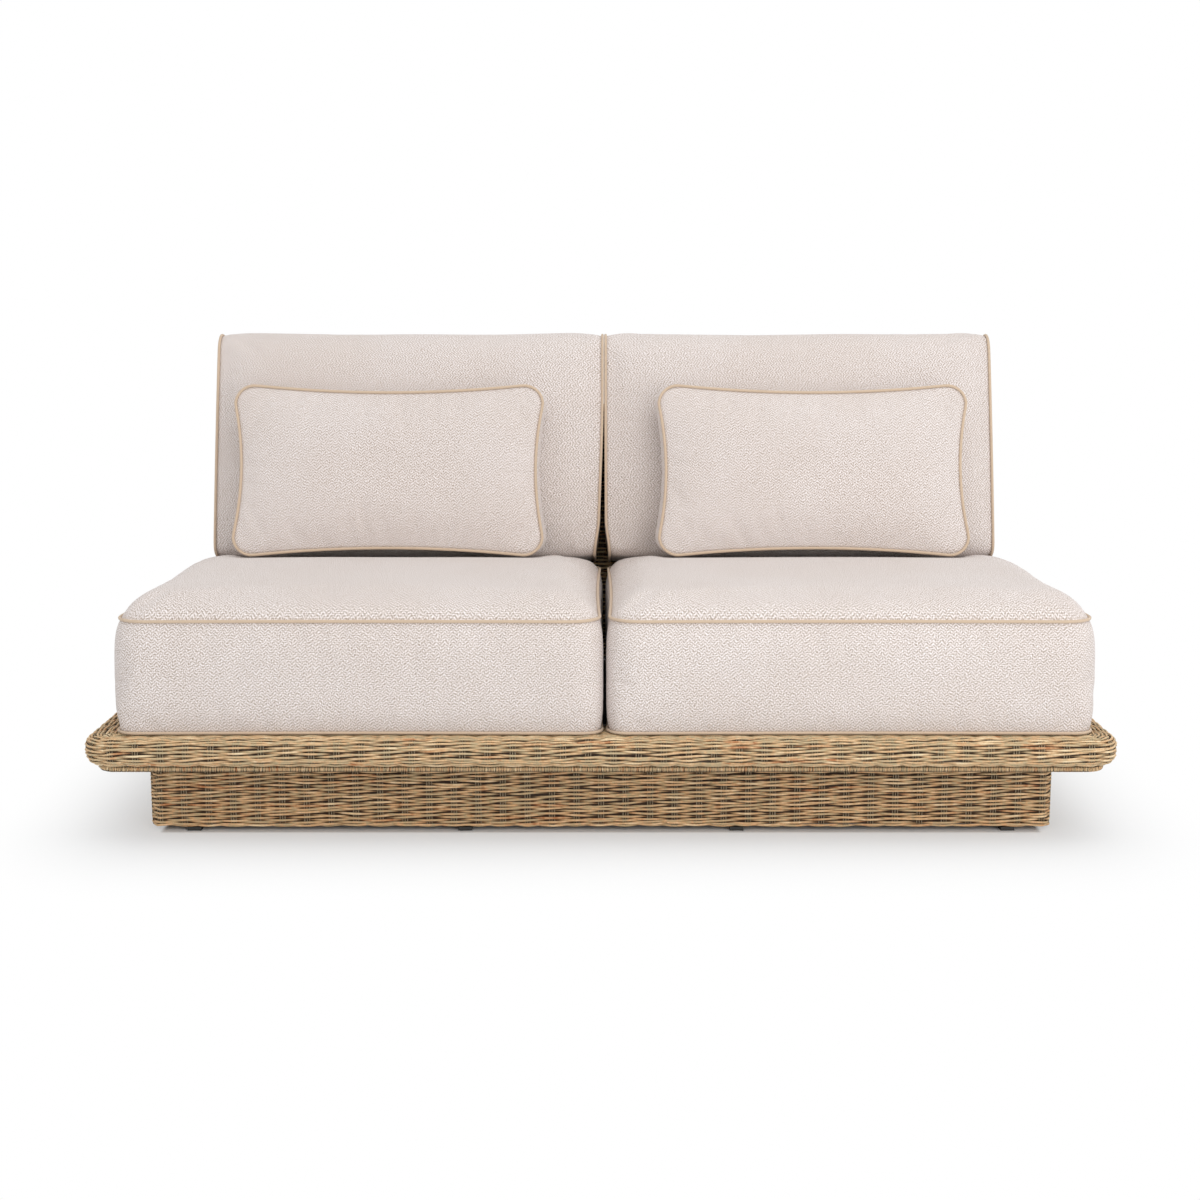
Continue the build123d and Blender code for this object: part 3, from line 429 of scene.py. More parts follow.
def close_tree(graph, geometry, finish):
    """End a tree: smooth, realised and with its material."""
    geometry = graph.node("GeometryNodeSetShadeSmooth", inputs={"Geometry": geometry})
    geometry = graph.node("GeometryNodeRealizeInstances", inputs={"Geometry": geometry})
    geometry = graph.node("GeometryNodeSetMaterial", inputs={"Geometry": geometry, "Material": finish})
    output = graph.tree.nodes.new("NodeGroupOutput")
    graph.tree.links.new(geometry.socket, output.inputs[0])
    return graph.tree


def named(graph, name, kind="FLOAT"):
    return graph.node("GeometryNodeInputNamedAttribute", {"data_type": kind}, {"Name": name})


def stored(graph, geometry, domain, name, value):
    """A geometry that carries a value under a name."""
    return graph.node("GeometryNodeStoreNamedAttribute", {"data_type": "FLOAT", "domain": domain},
                      {"Geometry": geometry, "Name": name, "Value": value})


def led(graph, line, sides, radius, **more):
    """A round section led along lines."""
    section = graph.node("GeometryNodeCurvePrimitiveCircle", inputs={"Resolution": sides, "Radius": radius})
    return graph.node("GeometryNodeCurveToMesh", inputs={"Curve": line, "Profile Curve": section, **more})


def drawn(graph, low, high, seed):
    """A number drawn for each instance."""
    return graph.node("FunctionNodeRandomValue", {"data_type": "FLOAT"}, {2: low, 3: high, "Seed": seed},
                      output=1)


def strand_tree():
    """Strands that follow guide lines and swing out and in round the stakes."""
    graph, given, line = group_tree("Woven strands", [
        ("Strand radius", "Float"), ("Swing", "Float"), ("Wander", "Float"), ("Sides", "Int"),
        ("Seed", "Float"), ("Finish", "Material")])
    run, row = named(graph, "run"), named(graph, "row")

    def slow(along, between, seed, detail):
        """Noise from -0.5 to 0.5 with its own scales along a strand and from row to row."""
        return graph.noise(graph.vector(run * along, row * between, given["Seed"] + seed), 1.0, detail) - 0.5

    def moved(name, amount):
        """A guide line's named way times an amount."""
        return graph.node("ShaderNodeVectorMath", {"operation": "SCALE"},
                          {0: named(graph, name, "FLOAT_VECTOR"), "Scale": amount})

    turn = (run + row + slow(0.5, 2.3, 2.0, 1.0) * 0.9) * math.pi
    lift = turn.maths("COSINE", turn)
    stray, drift, weight = slow(0.31, 3.7, 0.0, 2.0), slow(0.27, 0.34, 5.0, 1.0), slow(0.6, 5.9, 9.0, 1.0)
    out = moved("out", given["Swing"] * (lift - 1.0) - given["Strand radius"] * 1.1)
    aside = stray * 5.0 + drift * 9.0 - turn.sine() * (weight * 0.8 + 0.28)
    side = moved("across", given["Wander"] * aside)
    shift = graph.node("ShaderNodeVectorMath", {"operation": "ADD"}, {0: out, 1: side})
    line = graph.node("GeometryNodeSetPosition", inputs={"Geometry": line, "Offset": shift})
    line = stored(graph, line, "POINT", "lift", lift)
    line = graph.node("GeometryNodeSetCurveRadius",
                      inputs={"Curve": line, "Radius": 1.0 + lift * 0.1 + weight * 0.75})
    body = led(graph, line, given["Sides"], given["Strand radius"], **{"Fill Caps": True})
    return close_tree(graph, body, given["Finish"])


def cord_tree():
    """A plain cord along guide lines."""
    graph, given, line = group_tree("Cord", [("Radius", "Float"), ("Sides", "Int"), ("Finish", "Material")])
    body = led(graph, line, given["Sides"], given["Radius"], **{"Fill Caps": True})
    return close_tree(graph, body, given["Finish"])


def wrap_tree():
    """Flat wraps side by side round a border, each leaning a little its own way."""
    graph, given, line = group_tree("Wrapped border", [
        ("Width", "Float"), ("Height", "Float"), ("Strand radius", "Float"), ("Pitch", "Float"),
        ("Lean", "Float"), ("Seed", "Int"), ("Finish", "Material")])
    line = graph.node("GeometryNodeResampleCurve", {"mode": "LENGTH"},
                      {"Curve": line, "Length": given["Pitch"]})
    turn = graph.node("FunctionNodeAlignRotationToVector", {"axis": "Z"},
                      {"Vector": graph.node("GeometryNodeInputTangent")})
    outline = graph.node("GeometryNodeCurvePrimitiveQuadrilateral",
                         inputs={"Width": given["Width"], "Height": given["Height"]})
    outline = graph.node("GeometryNodeFilletCurve", {"mode": "POLY"},
                         {"Curve": outline, "Radius": given["Width"] * 0.42, "Count": 2})
    wrap = led(graph, outline, 4, given["Strand radius"])
    placed = graph.node("GeometryNodeInstanceOnPoints",
                        inputs={"Points": line, "Instance": wrap, "Rotation": turn})
    slack = drawn(graph, given["Lean"] * -1.0, given["Lean"], given["Seed"])
    placed = graph.node("GeometryNodeRotateInstances",
                        inputs={"Instances": placed, "Rotation": graph.vector(slack, slack * 0.5, 0.0)})
    placed = stored(graph, placed, "INSTANCE", "row", drawn(graph, 0.0, 60.0, given["Seed"] + 5.0))
    # A lift of 0.6 keeps the wraps clear of the strands' painted shade.
    return close_tree(graph, stored(graph, placed, "INSTANCE", "lift", 0.6), given["Finish"])


def tree_named(name, maker):
    return bpy.data.node_groups.get(name) or maker()


def run_tree(piece, tree, **values):
    """Put a tree on a piece, give its inputs, and keep the result as a plain mesh."""
    modifier = piece.modifiers.new(tree.name, "NODES")
    modifier.node_group = tree
    for item in tree.interface.items_tree:
        key = item.name.lower().replace(" ", "_")
        if item.in_out == "INPUT" and key in values:
            modifier[item.identifier] = values[key]
    settle(piece)


def settle(piece):
    """Make a piece's evaluated geometry its own plain mesh."""
    graph = bpy.context.evaluated_depsgraph_get()
    made = bpy.data.meshes.new_from_object(piece.evaluated_get(graph), preserve_all_data_layers=True,
                                           depsgraph=graph)
    guide = piece.data
    piece.modifiers.clear()
    piece.data = made
    bpy.data.meshes.remove(guide)
    for name in ("out", "across"):
        if name in made.attributes:
            made.attributes.remove(made.attributes[name])


# Meshes

def link_mesh(name, points, edges, faces, finish=None):
    mesh = bpy.data.meshes.new(name)
    mesh.from_pydata([tuple(p) for p in points], edges, faces)
    piece = bpy.data.objects.new(name, mesh)
    bpy.context.scene.collection.objects.link(piece)
    if finish:
        mesh.materials.append(finish)
    return piece


def face_out(mesh):
    """Turn a closed mesh's faces outwards and shade it smooth."""
    work = bmesh.new()
    work.from_mesh(mesh)
    bmesh.ops.recalc_face_normals(work, faces=work.faces)
    work.to_mesh(mesh)
    work.free()
    mesh.polygons.foreach_set("use_smooth", [True] * len(mesh.polygons))


class Guides:
    """Lines for strands to follow, with the directions that they swing and stray in."""

    def __init__(self):
        self.points, self.edges = [], []
        self.fields = {"out": [], "across": [], "run": [], "row": []}

    def add(self, places, row, closed):
        start, count = len(self.points), len(places)
        for point, *values in places:
            self.points.append(point)
            for field, value in zip(self.fields.values(), (*values, row)):
                field.append(value)
        self.edges += [(start + k, start + k + 1) for k in range(count - 1)]
        if closed:
            self.edges.append((start + count - 1, start))

    def piece(self, name):
        made = link_mesh(name, self.points, self.edges, [])
        for key in ("run", "row"):
            made.data.attributes.new(key, "FLOAT", "POINT").data.foreach_set("value", self.fields[key])
        for key in ("out", "across"):
            flat = [c for vector in self.fields[key] for c in vector]
            made.data.attributes.new(key, "FLOAT_VECTOR", "POINT").data.foreach_set("vector", flat)
        return made


def ring(half_x, half_y, corner, counts, steps):
    """Places round a rounded rectangle, from the left end of its front: point, outward way, stake count."""
    places = []
    for turn in range(4):
        angle = (turn - 1) * math.pi / 2
        out = Vector((math.cos(angle), math.sin(angle)))
        way = Vector((-out.y, out.x))
        straight, reach = (half_x - corner, half_y) if turn % 2 == 0 else (half_y - corner, half_x)
        count, corner_count = counts[turn % 2] * steps, counts[2] * steps
        for k in range(count):
            places.append((out * reach + way * straight * (2 * k / count - 1), out))
        centre = out * (reach - corner) + way * straight
        for k in range(corner_count):
            turned = angle + math.pi / 2 * k / corner_count
            heading = Vector((math.cos(turned), math.sin(turned)))
            places.append((centre + heading * corner, heading))
    return [(point, out, k / steps) for k, (point, out) in enumerate(places)]


# Stakes along a long side, along a short side and round a corner.
TRAY_COUNTS = (39, 20, 2)
PLINTH_COUNTS = (36, 17, 1)
BACK_COUNTS = (36, 0, 1)

# Depths behind the weave's outer face: the two faces of the sheet painted dark behind it as painted shade,
# and its stakes, in lanes side by side.
SHADE_SHEET_NEAR, SHADE_SHEET_FAR = 0.0042, 0.0052
STAKE_DEPTH, STAKE_LANES = 0.0014, (-0.0045, 0.0, 0.0045)
PLINTH_TOP_GAP = 0.001


def quarter(radius, turned):
    """Inset, rise and outward way on a round edge, at an angle above its middle."""
    level, up = math.cos(turned), math.sin(turned)
    return radius * (1 - level), radius * up, (level, up)


def tray_section(run):
    """Inset, height and outward way at a distance round the tray's section from its rim's inner edge."""
    flat, arc = RIM_DEPTH - NOSE, NOSE * math.pi / 2
    side = DECK - TRAY_BOTTOM - 2 * NOSE
    if run < flat:
        return RIM_DEPTH - run, DECK, (0.0, 1.0)
    run -= flat
    if run < arc:
        inset, rise, way = quarter(NOSE, math.pi / 2 - run / NOSE)
        return inset, DECK - NOSE + rise, way
    run -= arc
    if run < side:
        return 0.0, DECK - NOSE - run, (1.0, 0.0)
    run -= side
    if run < arc:
        inset, rise, way = quarter(NOSE, -run / NOSE)
        return inset, TRAY_BOTTOM + NOSE + rise, way
    return NOSE + run - arc, TRAY_BOTTOM, (0.0, -1.0)


def plinth_section(run):
    """The same for the plinth, from its top down and under its lip."""
    side = TRAY_BOTTOM - PLINTH_FOOT - PLINTH_BEVEL - PLINTH_TOP_GAP
    arc = PLINTH_BEVEL * math.pi / 2
    if run < side:
        return 0.0, TRAY_BOTTOM - PLINTH_TOP_GAP - run, (1.0, 0.0)
    run -= side
    if run < arc:
        inset, rise, way = quarter(PLINTH_BEVEL, -run / PLINTH_BEVEL)
        return inset, PLINTH_FOOT + PLINTH_BEVEL + rise, way
    return PLINTH_BEVEL + run - arc, PLINTH_FOOT, (0.0, -1.0)


def inner_ring(sizes, inset, least, counts, steps):
    """Places round a rounded rectangle drawn in by an inset; its corners keep a least radius."""
    half_x, half_y, corner = sizes
    return ring(half_x - inset, half_y - inset, max(corner - inset, least), counts, steps)


def ring_rows(section, whole, sizes, counts, weave):
    """Closed rows of weave, one pitch apart, down the whole of the tray's or plinth's section."""
    count = max(1, round(whole / weave.row_pitch))
    rows = []
    for number in range(count):
        inset, height, (level, up) = section(whole * (number + 0.5) / count)
        rows.append([((point.x, point.y, height), (out.x * level, out.y * level, up),
                      (out.x * up, out.y * up, -level), stakes)
                     for point, out, stakes in inner_ring(sizes, inset, 0.008, counts, weave.steps)])
    return rows


def round_over(rise, radius):
    """How far a round of the back's top draws in at a height, and how much of the round is climbed."""
    over = max(0.0, rise - (BACK_HEIGHT - radius))
    return radius - math.sqrt(max(0.0, radius ** 2 - over ** 2)), over / radius


def back_places(rise, steps):
    """A closed row of the leaning back's weave at a height up it; low rows stay level with the deck."""
    least_depth, corner_trim, low_run, low_lift = 0.004, 0.0005, 0.09, 0.003
    drop, _ = round_over(rise, BACK_CORNER)
    thin, up = round_over(rise, BACK_EDGE)
    half_depth = max(BACK_DEPTH / 2 - thin, least_depth)
    level = math.sqrt(max(0.0, 1 - up ** 2))
    low_share = max(0.0, 1 - rise / low_run)
    places = []
    for point, out, stakes in ring(BACK_X - drop, half_depth, half_depth - corner_trim, BACK_COUNTS, steps):
        forward = -point.y - BACK_DEPTH / 2
        low = rise - forward * math.tan(LEAN) * low_share + low_lift * low_share
        here = lean(point.x, low, forward)
        away = (lean(point.x + out.x * level, low + up, forward - out.y * level) - here).normalized()
        across = (lean(point.x - out.x * up, low + level, forward + out.y * up) - here).normalized()
        places.append((here, away, across, stakes))
    return places


def stakes_of(rows, steps):
    """Lines for the stakes: a thin rod in each lane across the rows at every stake."""
    guides = Guides()
    count = len(rows[0])
    for k in range(0, count, steps):
        for lane, aside in enumerate(STAKE_LANES):
            places = []
            for row in rows:
                point, out, across, _ = row[k]
                after = Vector(row[(k + 1) % count][0]) - Vector(row[k - 1][0])
                place = Vector(point) - Vector(out) * STAKE_DEPTH + after.normalized() * aside
                places.append((place, out, across, float(lane)))
            guides.add(places, k + lane * 0.37, False)
    return guides


def shell(name, loops, finish, capped=False):
    """A closed shell from closed loops, led back to the first one or capped at both ends."""
    size, count = len(loops[0]), len(loops)
    faces = [(a * size + k, a * size + (k + 1) % size, (a + 1) % count * size + (k + 1) % size,
              (a + 1) % count * size + k) for a in range(count - capped) for k in range(size)]
    if capped:
        faces += [tuple(range(size)), tuple(range((count - 1) * size, count * size))]
    piece = link_mesh(name, [p for loop in loops for p in loop], [], faces, finish)
    face_out(piece.data)
    return piece


def ring_shell(name, path, sizes, counts, finish):
    """A shell whose section is a path of insets and heights, led round a rounded rectangle."""
    return shell(name, [[(p.x, p.y, height) for p, _, _ in inner_ring(sizes, inset, 0.004, counts, 2)]
                        for inset, height in path], finish)


def join(piece, *others):
    """Join pieces into the first."""
    with bpy.context.temp_override(active_object=piece, object=piece, selected_objects=[piece, *others],
                                   selected_editable_objects=[piece, *others]):
        bpy.ops.object.join()
    return piece


def dress(piece, body, slot, *nodes):
    """Attach a piece to the body it moves with and hide the nodes that it stands for. The slot is not used.
    """
    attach(piece, body)
    if nodes:
        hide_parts(*nodes)


def strands(name, guides, weave, finish, *nodes):
    """Woven strands along guides."""
    piece = guides.piece(name)
    run_tree(piece, tree_named("Woven strands", strand_tree), finish=finish, sides=5,
             strand_radius=weave.strand, swing=weave.swing, wander=weave.wander, seed=float(weave.seed))
    dress(piece, "frame", "wicker", *nodes)


def rods(name, rows, steps, weave):
    """Straight stakes behind the strands."""
    piece = stakes_of(rows, steps).piece(name)
    finish = finish_named("Stake rod", stake_finish, weave)
    run_tree(piece, tree_named("Woven strands", strand_tree), finish=finish, sides=3,
             strand_radius=weave.stake, swing=0.0, wander=0.0, seed=float(weave.seed))
    dress(piece, "frame", "wicker")


# Cushions

# Distances from a zip's middle line at which its opening has mesh lines, and over which it ends.
ZIP_LINES = (0.009, 0.0056, 0.0049, 0.0044)
ZIP_FADE = 0.008

# Half the width of a zip's opening, half that of the tape in it, and how far the cloth's lips sink.
ZIP_OPEN, ZIP_TAPE, ZIP_LIPS = 0.0062, 0.0052, 0.0012


def ease(start, stop, value):
    """Ease from 0 at start to 1 at stop."""
    share = min(1.0, max(0.0, (value - start) / (stop - start)))
    return share * share * (3 - 2 * share)


def beyond(value, limit):
    """How far a value lies past a limit on either side."""
    return math.copysign(max(0.0, abs(value) - limit), value)


def waves(amount, *place):
    """A slow wave of the cloth."""
    return amount * noise.noise(Vector(place))


def pucker(point, seed, amount):
    """A small ripple that a sewn seam leaves in the cloth beside it."""
    fineness = 30
    x, y, z = (c * fineness for c in point)
    return waves(amount, x, y, z + seed)


def groove(distance, depth):
    """How far the zip's opening sinks at a distance from its middle line."""
    if distance > ZIP_OPEN:
        return 0.0
    return ZIP_LIPS if distance > ZIP_TAPE else depth


def zip_share(aside, half):
    """1 along a zip of a half length, falling to 0 past its end."""
    return min(1.0, max(0.0, (half + ZIP_FADE - abs(aside)) / ZIP_FADE))


def grid_lines(half, pitch, extra=()):
    """Shares from -1 to 1 about one pitch apart, with extra lines put in."""
    count = max(4, round(2 * half / pitch))
    lines = [2 * k / count - 1 for k in range(count + 1)]
    near = 0.6 * 2 / count
    inner = [line for line in lines[1:-1] if all(abs(line - e) > near for e in extra)]
    return sorted([-1.0, 1.0, *inner, *extra])


def drawn_place(s, t, bounds, corner, pull):
    """A place on a rounded rectangle whose sides draw in, for a place in a square."""
    x0, x1, y0, y1 = bounds
    a, b = (x1 - x0) / 2, (y1 - y0) / 2
    reach = max(abs(s), abs(t), 1e-9)
    rim_x, rim_y = s / reach * a, t / reach * b
    x, y = rim_x, rim_y
    over_x, over_y = abs(x) - (a - corner), abs(y) - (b - corner)
    if over_x > 0 and over_y > 0:
        span = math.hypot(over_x, over_y)
        x = math.copysign(a - corner + over_x * corner / span, x)
        y = math.copysign(b - corner + over_y * corner / span, y)
    elif over_x > 0:
        x -= math.copysign(pull * (1 - (y / (b - corner)) ** 2), x)
    elif over_y > 0:
        y -= math.copysign(pull * (1 - (x / (a - corner)) ** 2), y)
    share = reach ** 3
    return ((x0 + x1) / 2 + s * a + (x - rim_x) * share, (y0 + y1) / 2 + t * b + (y - rim_y) * share)


class Boxed:
    """A boxed cushion's closed mesh: two faces on grids, and a band between their seams.

    place(s, t, level, face) gives a point and how firmly it is held, for a face of -1, 0 (band) or 1.
    """

    def __init__(self, body, cushions, grid, halves, place):
        self.body, self.cushions = body, cushions
        (across, along, levels), (half_s, half_t) = grid, halves
        ns, nt = len(across) - 1, len(along) - 1
        rim = [(i, 0) for i in range(ns)] + [(ns, j) for j in range(nt)] + \
              [(i, nt) for i in range(ns, 0, -1)] + [(0, j) for j in range(nt, 0, -1)]
        points, holds, faces, maps = [], [], [], []

        def put(s, t, level, face):
            point, hold = place(s, t, level, face)
            points.append(point)
            holds.append(hold)
            return len(points) - 1

        low = {(i, j): put(across[i], along[j], 0.0, -1) for i in range(ns + 1) for j in range(nt + 1)}
        loops = [[low[k] for k in rim]]
        for level in levels[1:-1]:
            loops.append([put(across[i], along[j], level, 0) for i, j in rim])
        high = {(i, j): put(across[i], along[j], 1.0, 1) for i in range(ns + 1) for j in range(nt + 1)}
        loops.append([high[k] for k in rim])
        for sheet, order, mirrored in ((low, (3, 2, 1, 0), -1), (high, (0, 1, 2, 3), 1)):
            for i in range(ns):
                for j in range(nt):
                    corners = [(i, j), (i + 1, j), (i + 1, j + 1), (i, j + 1)]
                    faces.append([sheet[corners[k]] for k in order])
                    maps.append([(across[corners[k][0]] * mirrored * half_s, along[corners[k][1]] * half_t)
                                 for k in order])
        middle = loops[len(loops) // 2]
        arc, rise = [0.0], [0.0]
        for a, b in zip(middle, middle[1:] + middle[:1]):
            arc.append(arc[-1] + (points[b] - points[a]).length)
        for a, b in zip(loops, loops[1:]):
            rise.append(rise[-1] + (points[a[5]] - points[b[5]]).length)
        for a in range(len(loops) - 1):
            for k in range(len(rim)):
                n = (k + 1) % len(rim)
                faces.append([loops[a][k], loops[a][n], loops[a + 1][n], loops[a + 1][k]])
                maps.append([(arc[k], rise[a]), (arc[k + 1], rise[a]), (arc[k + 1], rise[a + 1]),
                             (arc[k], rise[a + 1])])
        self.seams, self.holds = [loops[0], loops[-1]], holds
        self.clothe(points, faces, maps)

    def clothe(self, points, faces, maps):
        """Make the mesh with its fabric, its weave map, its held points and its creased seams."""
        self.piece = link_mesh(f"{self.body}_cushion", points, [], faces,
                               finish_named("Woven fabric", fabric_finish, self.cushions))
        cloth = self.piece.data.uv_layers.new(name="weave")
        cloth.data.foreach_set("uv", [c for corners in maps for uv in corners for c in uv])
        group = self.piece.vertex_groups.new(name="held")
        for index, hold in enumerate(self.holds):
            if hold > 0:
                group.add([index], hold, "REPLACE")
        self.crease(0.75)
        face_out(self.piece.data)

    def crease(self, sharpness):
        """Keep the seams when the cushion is smoothed."""
        work = bmesh.new()
        work.from_mesh(self.piece.data)
        work.verts.ensure_lookup_table()
        layer = work.edges.layers.float.get("crease_edge") or work.edges.layers.float.new("crease_edge")
        for loop in self.seams:
            for a, b in zip(loop, loop[1:] + loop[:1]):
                edge = work.edges.get((work.verts[a], work.verts[b]))
                if edge:
                    edge[layer] = sharpness
        work.to_mesh(self.piece.data)
        work.free()

    def swell(self, origin, axis, most):
        """Let the filling push the panels out between the seams, as cloth under pressure.

        Along the axis no panel goes further than most from the origin, where the next piece lies.
        """
        piece, scene, cap = self.piece, bpy.context.scene, self.cushions.swell
        frames, bend = 20, 20
        rest = [v.co.copy() for v in piece.data.vertices]
        modifier = piece.modifiers.new("Cloth", "CLOTH")
        settings = {"quality": 4, "mass": 0.3, "tension_stiffness": 15, "compression_stiffness": 15,
                    "shear_stiffness": 6, "bending_stiffness": 0.6, "use_pressure": True,
                    "uniform_pressure_force": self.cushions.pressure, "shrink_min": -0.012,
                    "vertex_group_mass": "held"}
        for key, value in settings.items():
            setattr(modifier.settings, key, value)
        modifier.settings.effector_weights.gravity = 0
        modifier.collision_settings.use_collision = False
        modifier.point_cache.frame_start, modifier.point_cache.frame_end = 1, frames
        for step in range(1, frames + 1):
            scene.frame_set(step)
        moved = piece.evaluated_get(bpy.context.evaluated_depsgraph_get()).data.vertices
        swelled = [v.co.copy() for v in moved]
        piece.modifiers.remove(modifier)
        scene.frame_set(1)
        for vertex, start, end, hold in zip(piece.data.vertices, rest, swelled, self.holds):
            push = end - start
            if push.length > 1e-9:
                capped = cap * math.tanh(push.length / cap)
                vertex.co = start + push.normalized() * capped * (1 - hold)
            reach = (vertex.co - origin).dot(axis)
            if reach > most / 2:
                vertex.co += axis * ((reach ** -bend + most ** -bend) ** (-1 / bend) - reach)

    def piping(self, loops, outward):
        """A cord beside the seams, moved outwards from each seam point."""
        guides, radius, stand = Guides(), self.cushions.piping, 0.8
        coords = [v.co for v in self.piece.data.vertices]
        for row, loop in enumerate(loops):
            places, run = [], 0.0
            for index in loop:
                point = coords[index] + outward(coords[index], row) * radius * stand
                if places:
                    run += (point - places[-1][0]).length
                places.append((point, (0, 0, 1), (0, 0, 1), run))
            guides.add(places, row, True)
        piece = guides.piece(f"{self.body}_piping_cord")
        run_tree(piece, tree_named("Cord", cord_tree), radius=radius, sides=8,
                 finish=finish_named("Piping cloth", cord_finish, self.cushions))
        dress(piece, self.body, "piping", f"{self.body}_piping")

    def filling(self):
        """The foam inside: the cushion's own form drawn in, and further in beside the zip."""
        skin, zip_room, far, near = 0.006, 0.022, 0.040, 0.022
        mesh = self.piece.data.copy()
        foam = bpy.data.objects.new(f"{self.body}_filling", mesh)
        bpy.context.scene.collection.objects.link(foam)
        corners = [Vector(corner) for corner in frame["nodes"][f"{self.body}_zip"].bound_box]
        low = [min(c[k] for c in corners) for k in range(3)]
        high = [max(c[k] for c in corners) for k in range(3)]
        normals = [v.normal.copy() for v in mesh.vertices]
        for vertex, normal in zip(mesh.vertices, normals):
            gap = max(max(low[k] - vertex.co[k], vertex.co[k] - high[k]) for k in range(3))
            vertex.co -= normal * (skin + zip_room * ease(far, near, gap))
        mesh.materials.clear()
        mesh.materials.append(finish_named("Cut foam", foam_finish))
        dress(foam, self.body, "foam", f"{self.body}_foam")

    def finish(self, fill):
        """Smooth the cushion and say what it is."""
        self.filling()
        smooth = self.piece.modifiers.new("Smooth", "SUBSURF")
        smooth.levels = smooth.render_levels = 1
        dress(self.piece, self.body, "fabric", f"{self.body}_cover")


# Operators

class SOFA_OT_stage(bpy.types.Operator):
    """Floor, background, lamps and camera"""

    bl_idname = "sofa.stage"
    bl_label = "Stage"

    def execute(self, context):
        stage, scene = context.scene.sofa_stage, context.scene
        scene.view_settings.view_transform = "Standard"
        world = bpy.data.worlds.new("Studio")
        scene.world = world
        graph = self.cleared(world)
        even, white = (graph.node("ShaderNodeBackground", inputs={"Color": WHITE, "Strength": strength})
                       for strength in (stage.ambient, 1.0))
        self.blend(graph, self.seen(graph), even, white, "ShaderNodeOutputWorld")
        self.floor()
        self.lamp("Key_lamp", place=(1.2, -1.6, 3.4), target=(0.0, 0.0, 0.3), size=3.2, power=stage.key)
        self.lamp("Front_lamp", place=(1.9, -4.2, 0.75), target=(0.0, 0.0, 0.25), size=2.2, power=stage.fill)
        camera = bpy.data.objects.new("Camera", bpy.data.cameras.new("Camera"))
        scene.collection.objects.link(camera)
        camera.data.lens = stage.lens
        camera.data.sensor_width = 36.0
        camera.location = stage.place
        camera.rotation_euler = (math.pi / 2 - stage.pitch, 0, 0)
        scene.camera = camera
        return {"FINISHED"}

    def cleared(self, owner):
        """An empty node tree on a world or a material."""
        owner.use_nodes = True
        owner.node_tree.nodes.clear()
        return Graph(owner.node_tree)

    def seen(self, graph):
        """1 for the camera's own view and for reflections."""
        path = graph.tree.nodes.new("ShaderNodeLightPath")
        camera, glossy, through = (Link(graph, path.outputs[name]) for name in
                                   ("Is Camera Ray", "Is Glossy Ray", "Is Transmission Ray"))
        return camera.maths("MAXIMUM", camera, glossy.maths("MAXIMUM", glossy, through))

    def blend(self, graph, share, first, second, end):
        """End a tree with one surface that gives way to another."""
        both = graph.node("ShaderNodeMixShader", inputs={0: share, 1: first, 2: second})
        graph.tree.links.new(both.socket, graph.tree.nodes.new(end).inputs[0])

    def floor(self):
        """A pale floor that keeps the shadow near the sofa and fades to white away from it."""
        count, reach = 48, 30.0
        dark_x, dark_y, narrow, contact, fade = 0.82, 0.41, 1.2, 0.012, 0.42
        turns = [k * math.tau / count for k in range(count)]
        points = [(0.0, 0.0, 0.0)] + [(reach * math.cos(turn), reach * math.sin(turn), 0.0) for turn in turns]
        floor = link_mesh("Floor", points, [], [(0, k + 1, (k + 1) % count + 1) for k in range(count)])
        material = bpy.data.materials.new("Pale floor")
        graph = self.cleared(material)
        x, y, _ = graph.split(graph.place())
        away_x, away_y = (way.maths("MAXIMUM", way.maths("ABSOLUTE", way) - dark, 0.0)
                          for way, dark in ((x, dark_x), (y, dark_y)))
        away_x = away_x * narrow
        away = (away_x * away_x + away_y * away_y).power(0.5)
        share = 0.38 * away.between(0.0, contact) + 0.62 * away.between(0.0, fade)
        matt = graph.node("ShaderNodeBsdfDiffuse", inputs={"Color": (0.855, 0.87, 0.885)})
        white = graph.node("ShaderNodeEmission", inputs={"Color": WHITE, "Strength": 1.0})
        self.blend(graph, self.seen(graph) * share, matt, white, "ShaderNodeOutputMaterial")
        floor.data.materials.append(material)

    def lamp(self, name, place, target, size, power):
        lamp = bpy.data.lights.new(name, "AREA")
        lamp.size, lamp.energy, lamp.color = size, power, (1.0, 0.995, 0.985)
        held = bpy.data.objects.new(name, lamp)
        held.location = place
        held.rotation_euler = (Vector(target) - Vector(place)).to_track_quat("-Z", "Y").to_euler()
        bpy.context.scene.collection.objects.link(held)


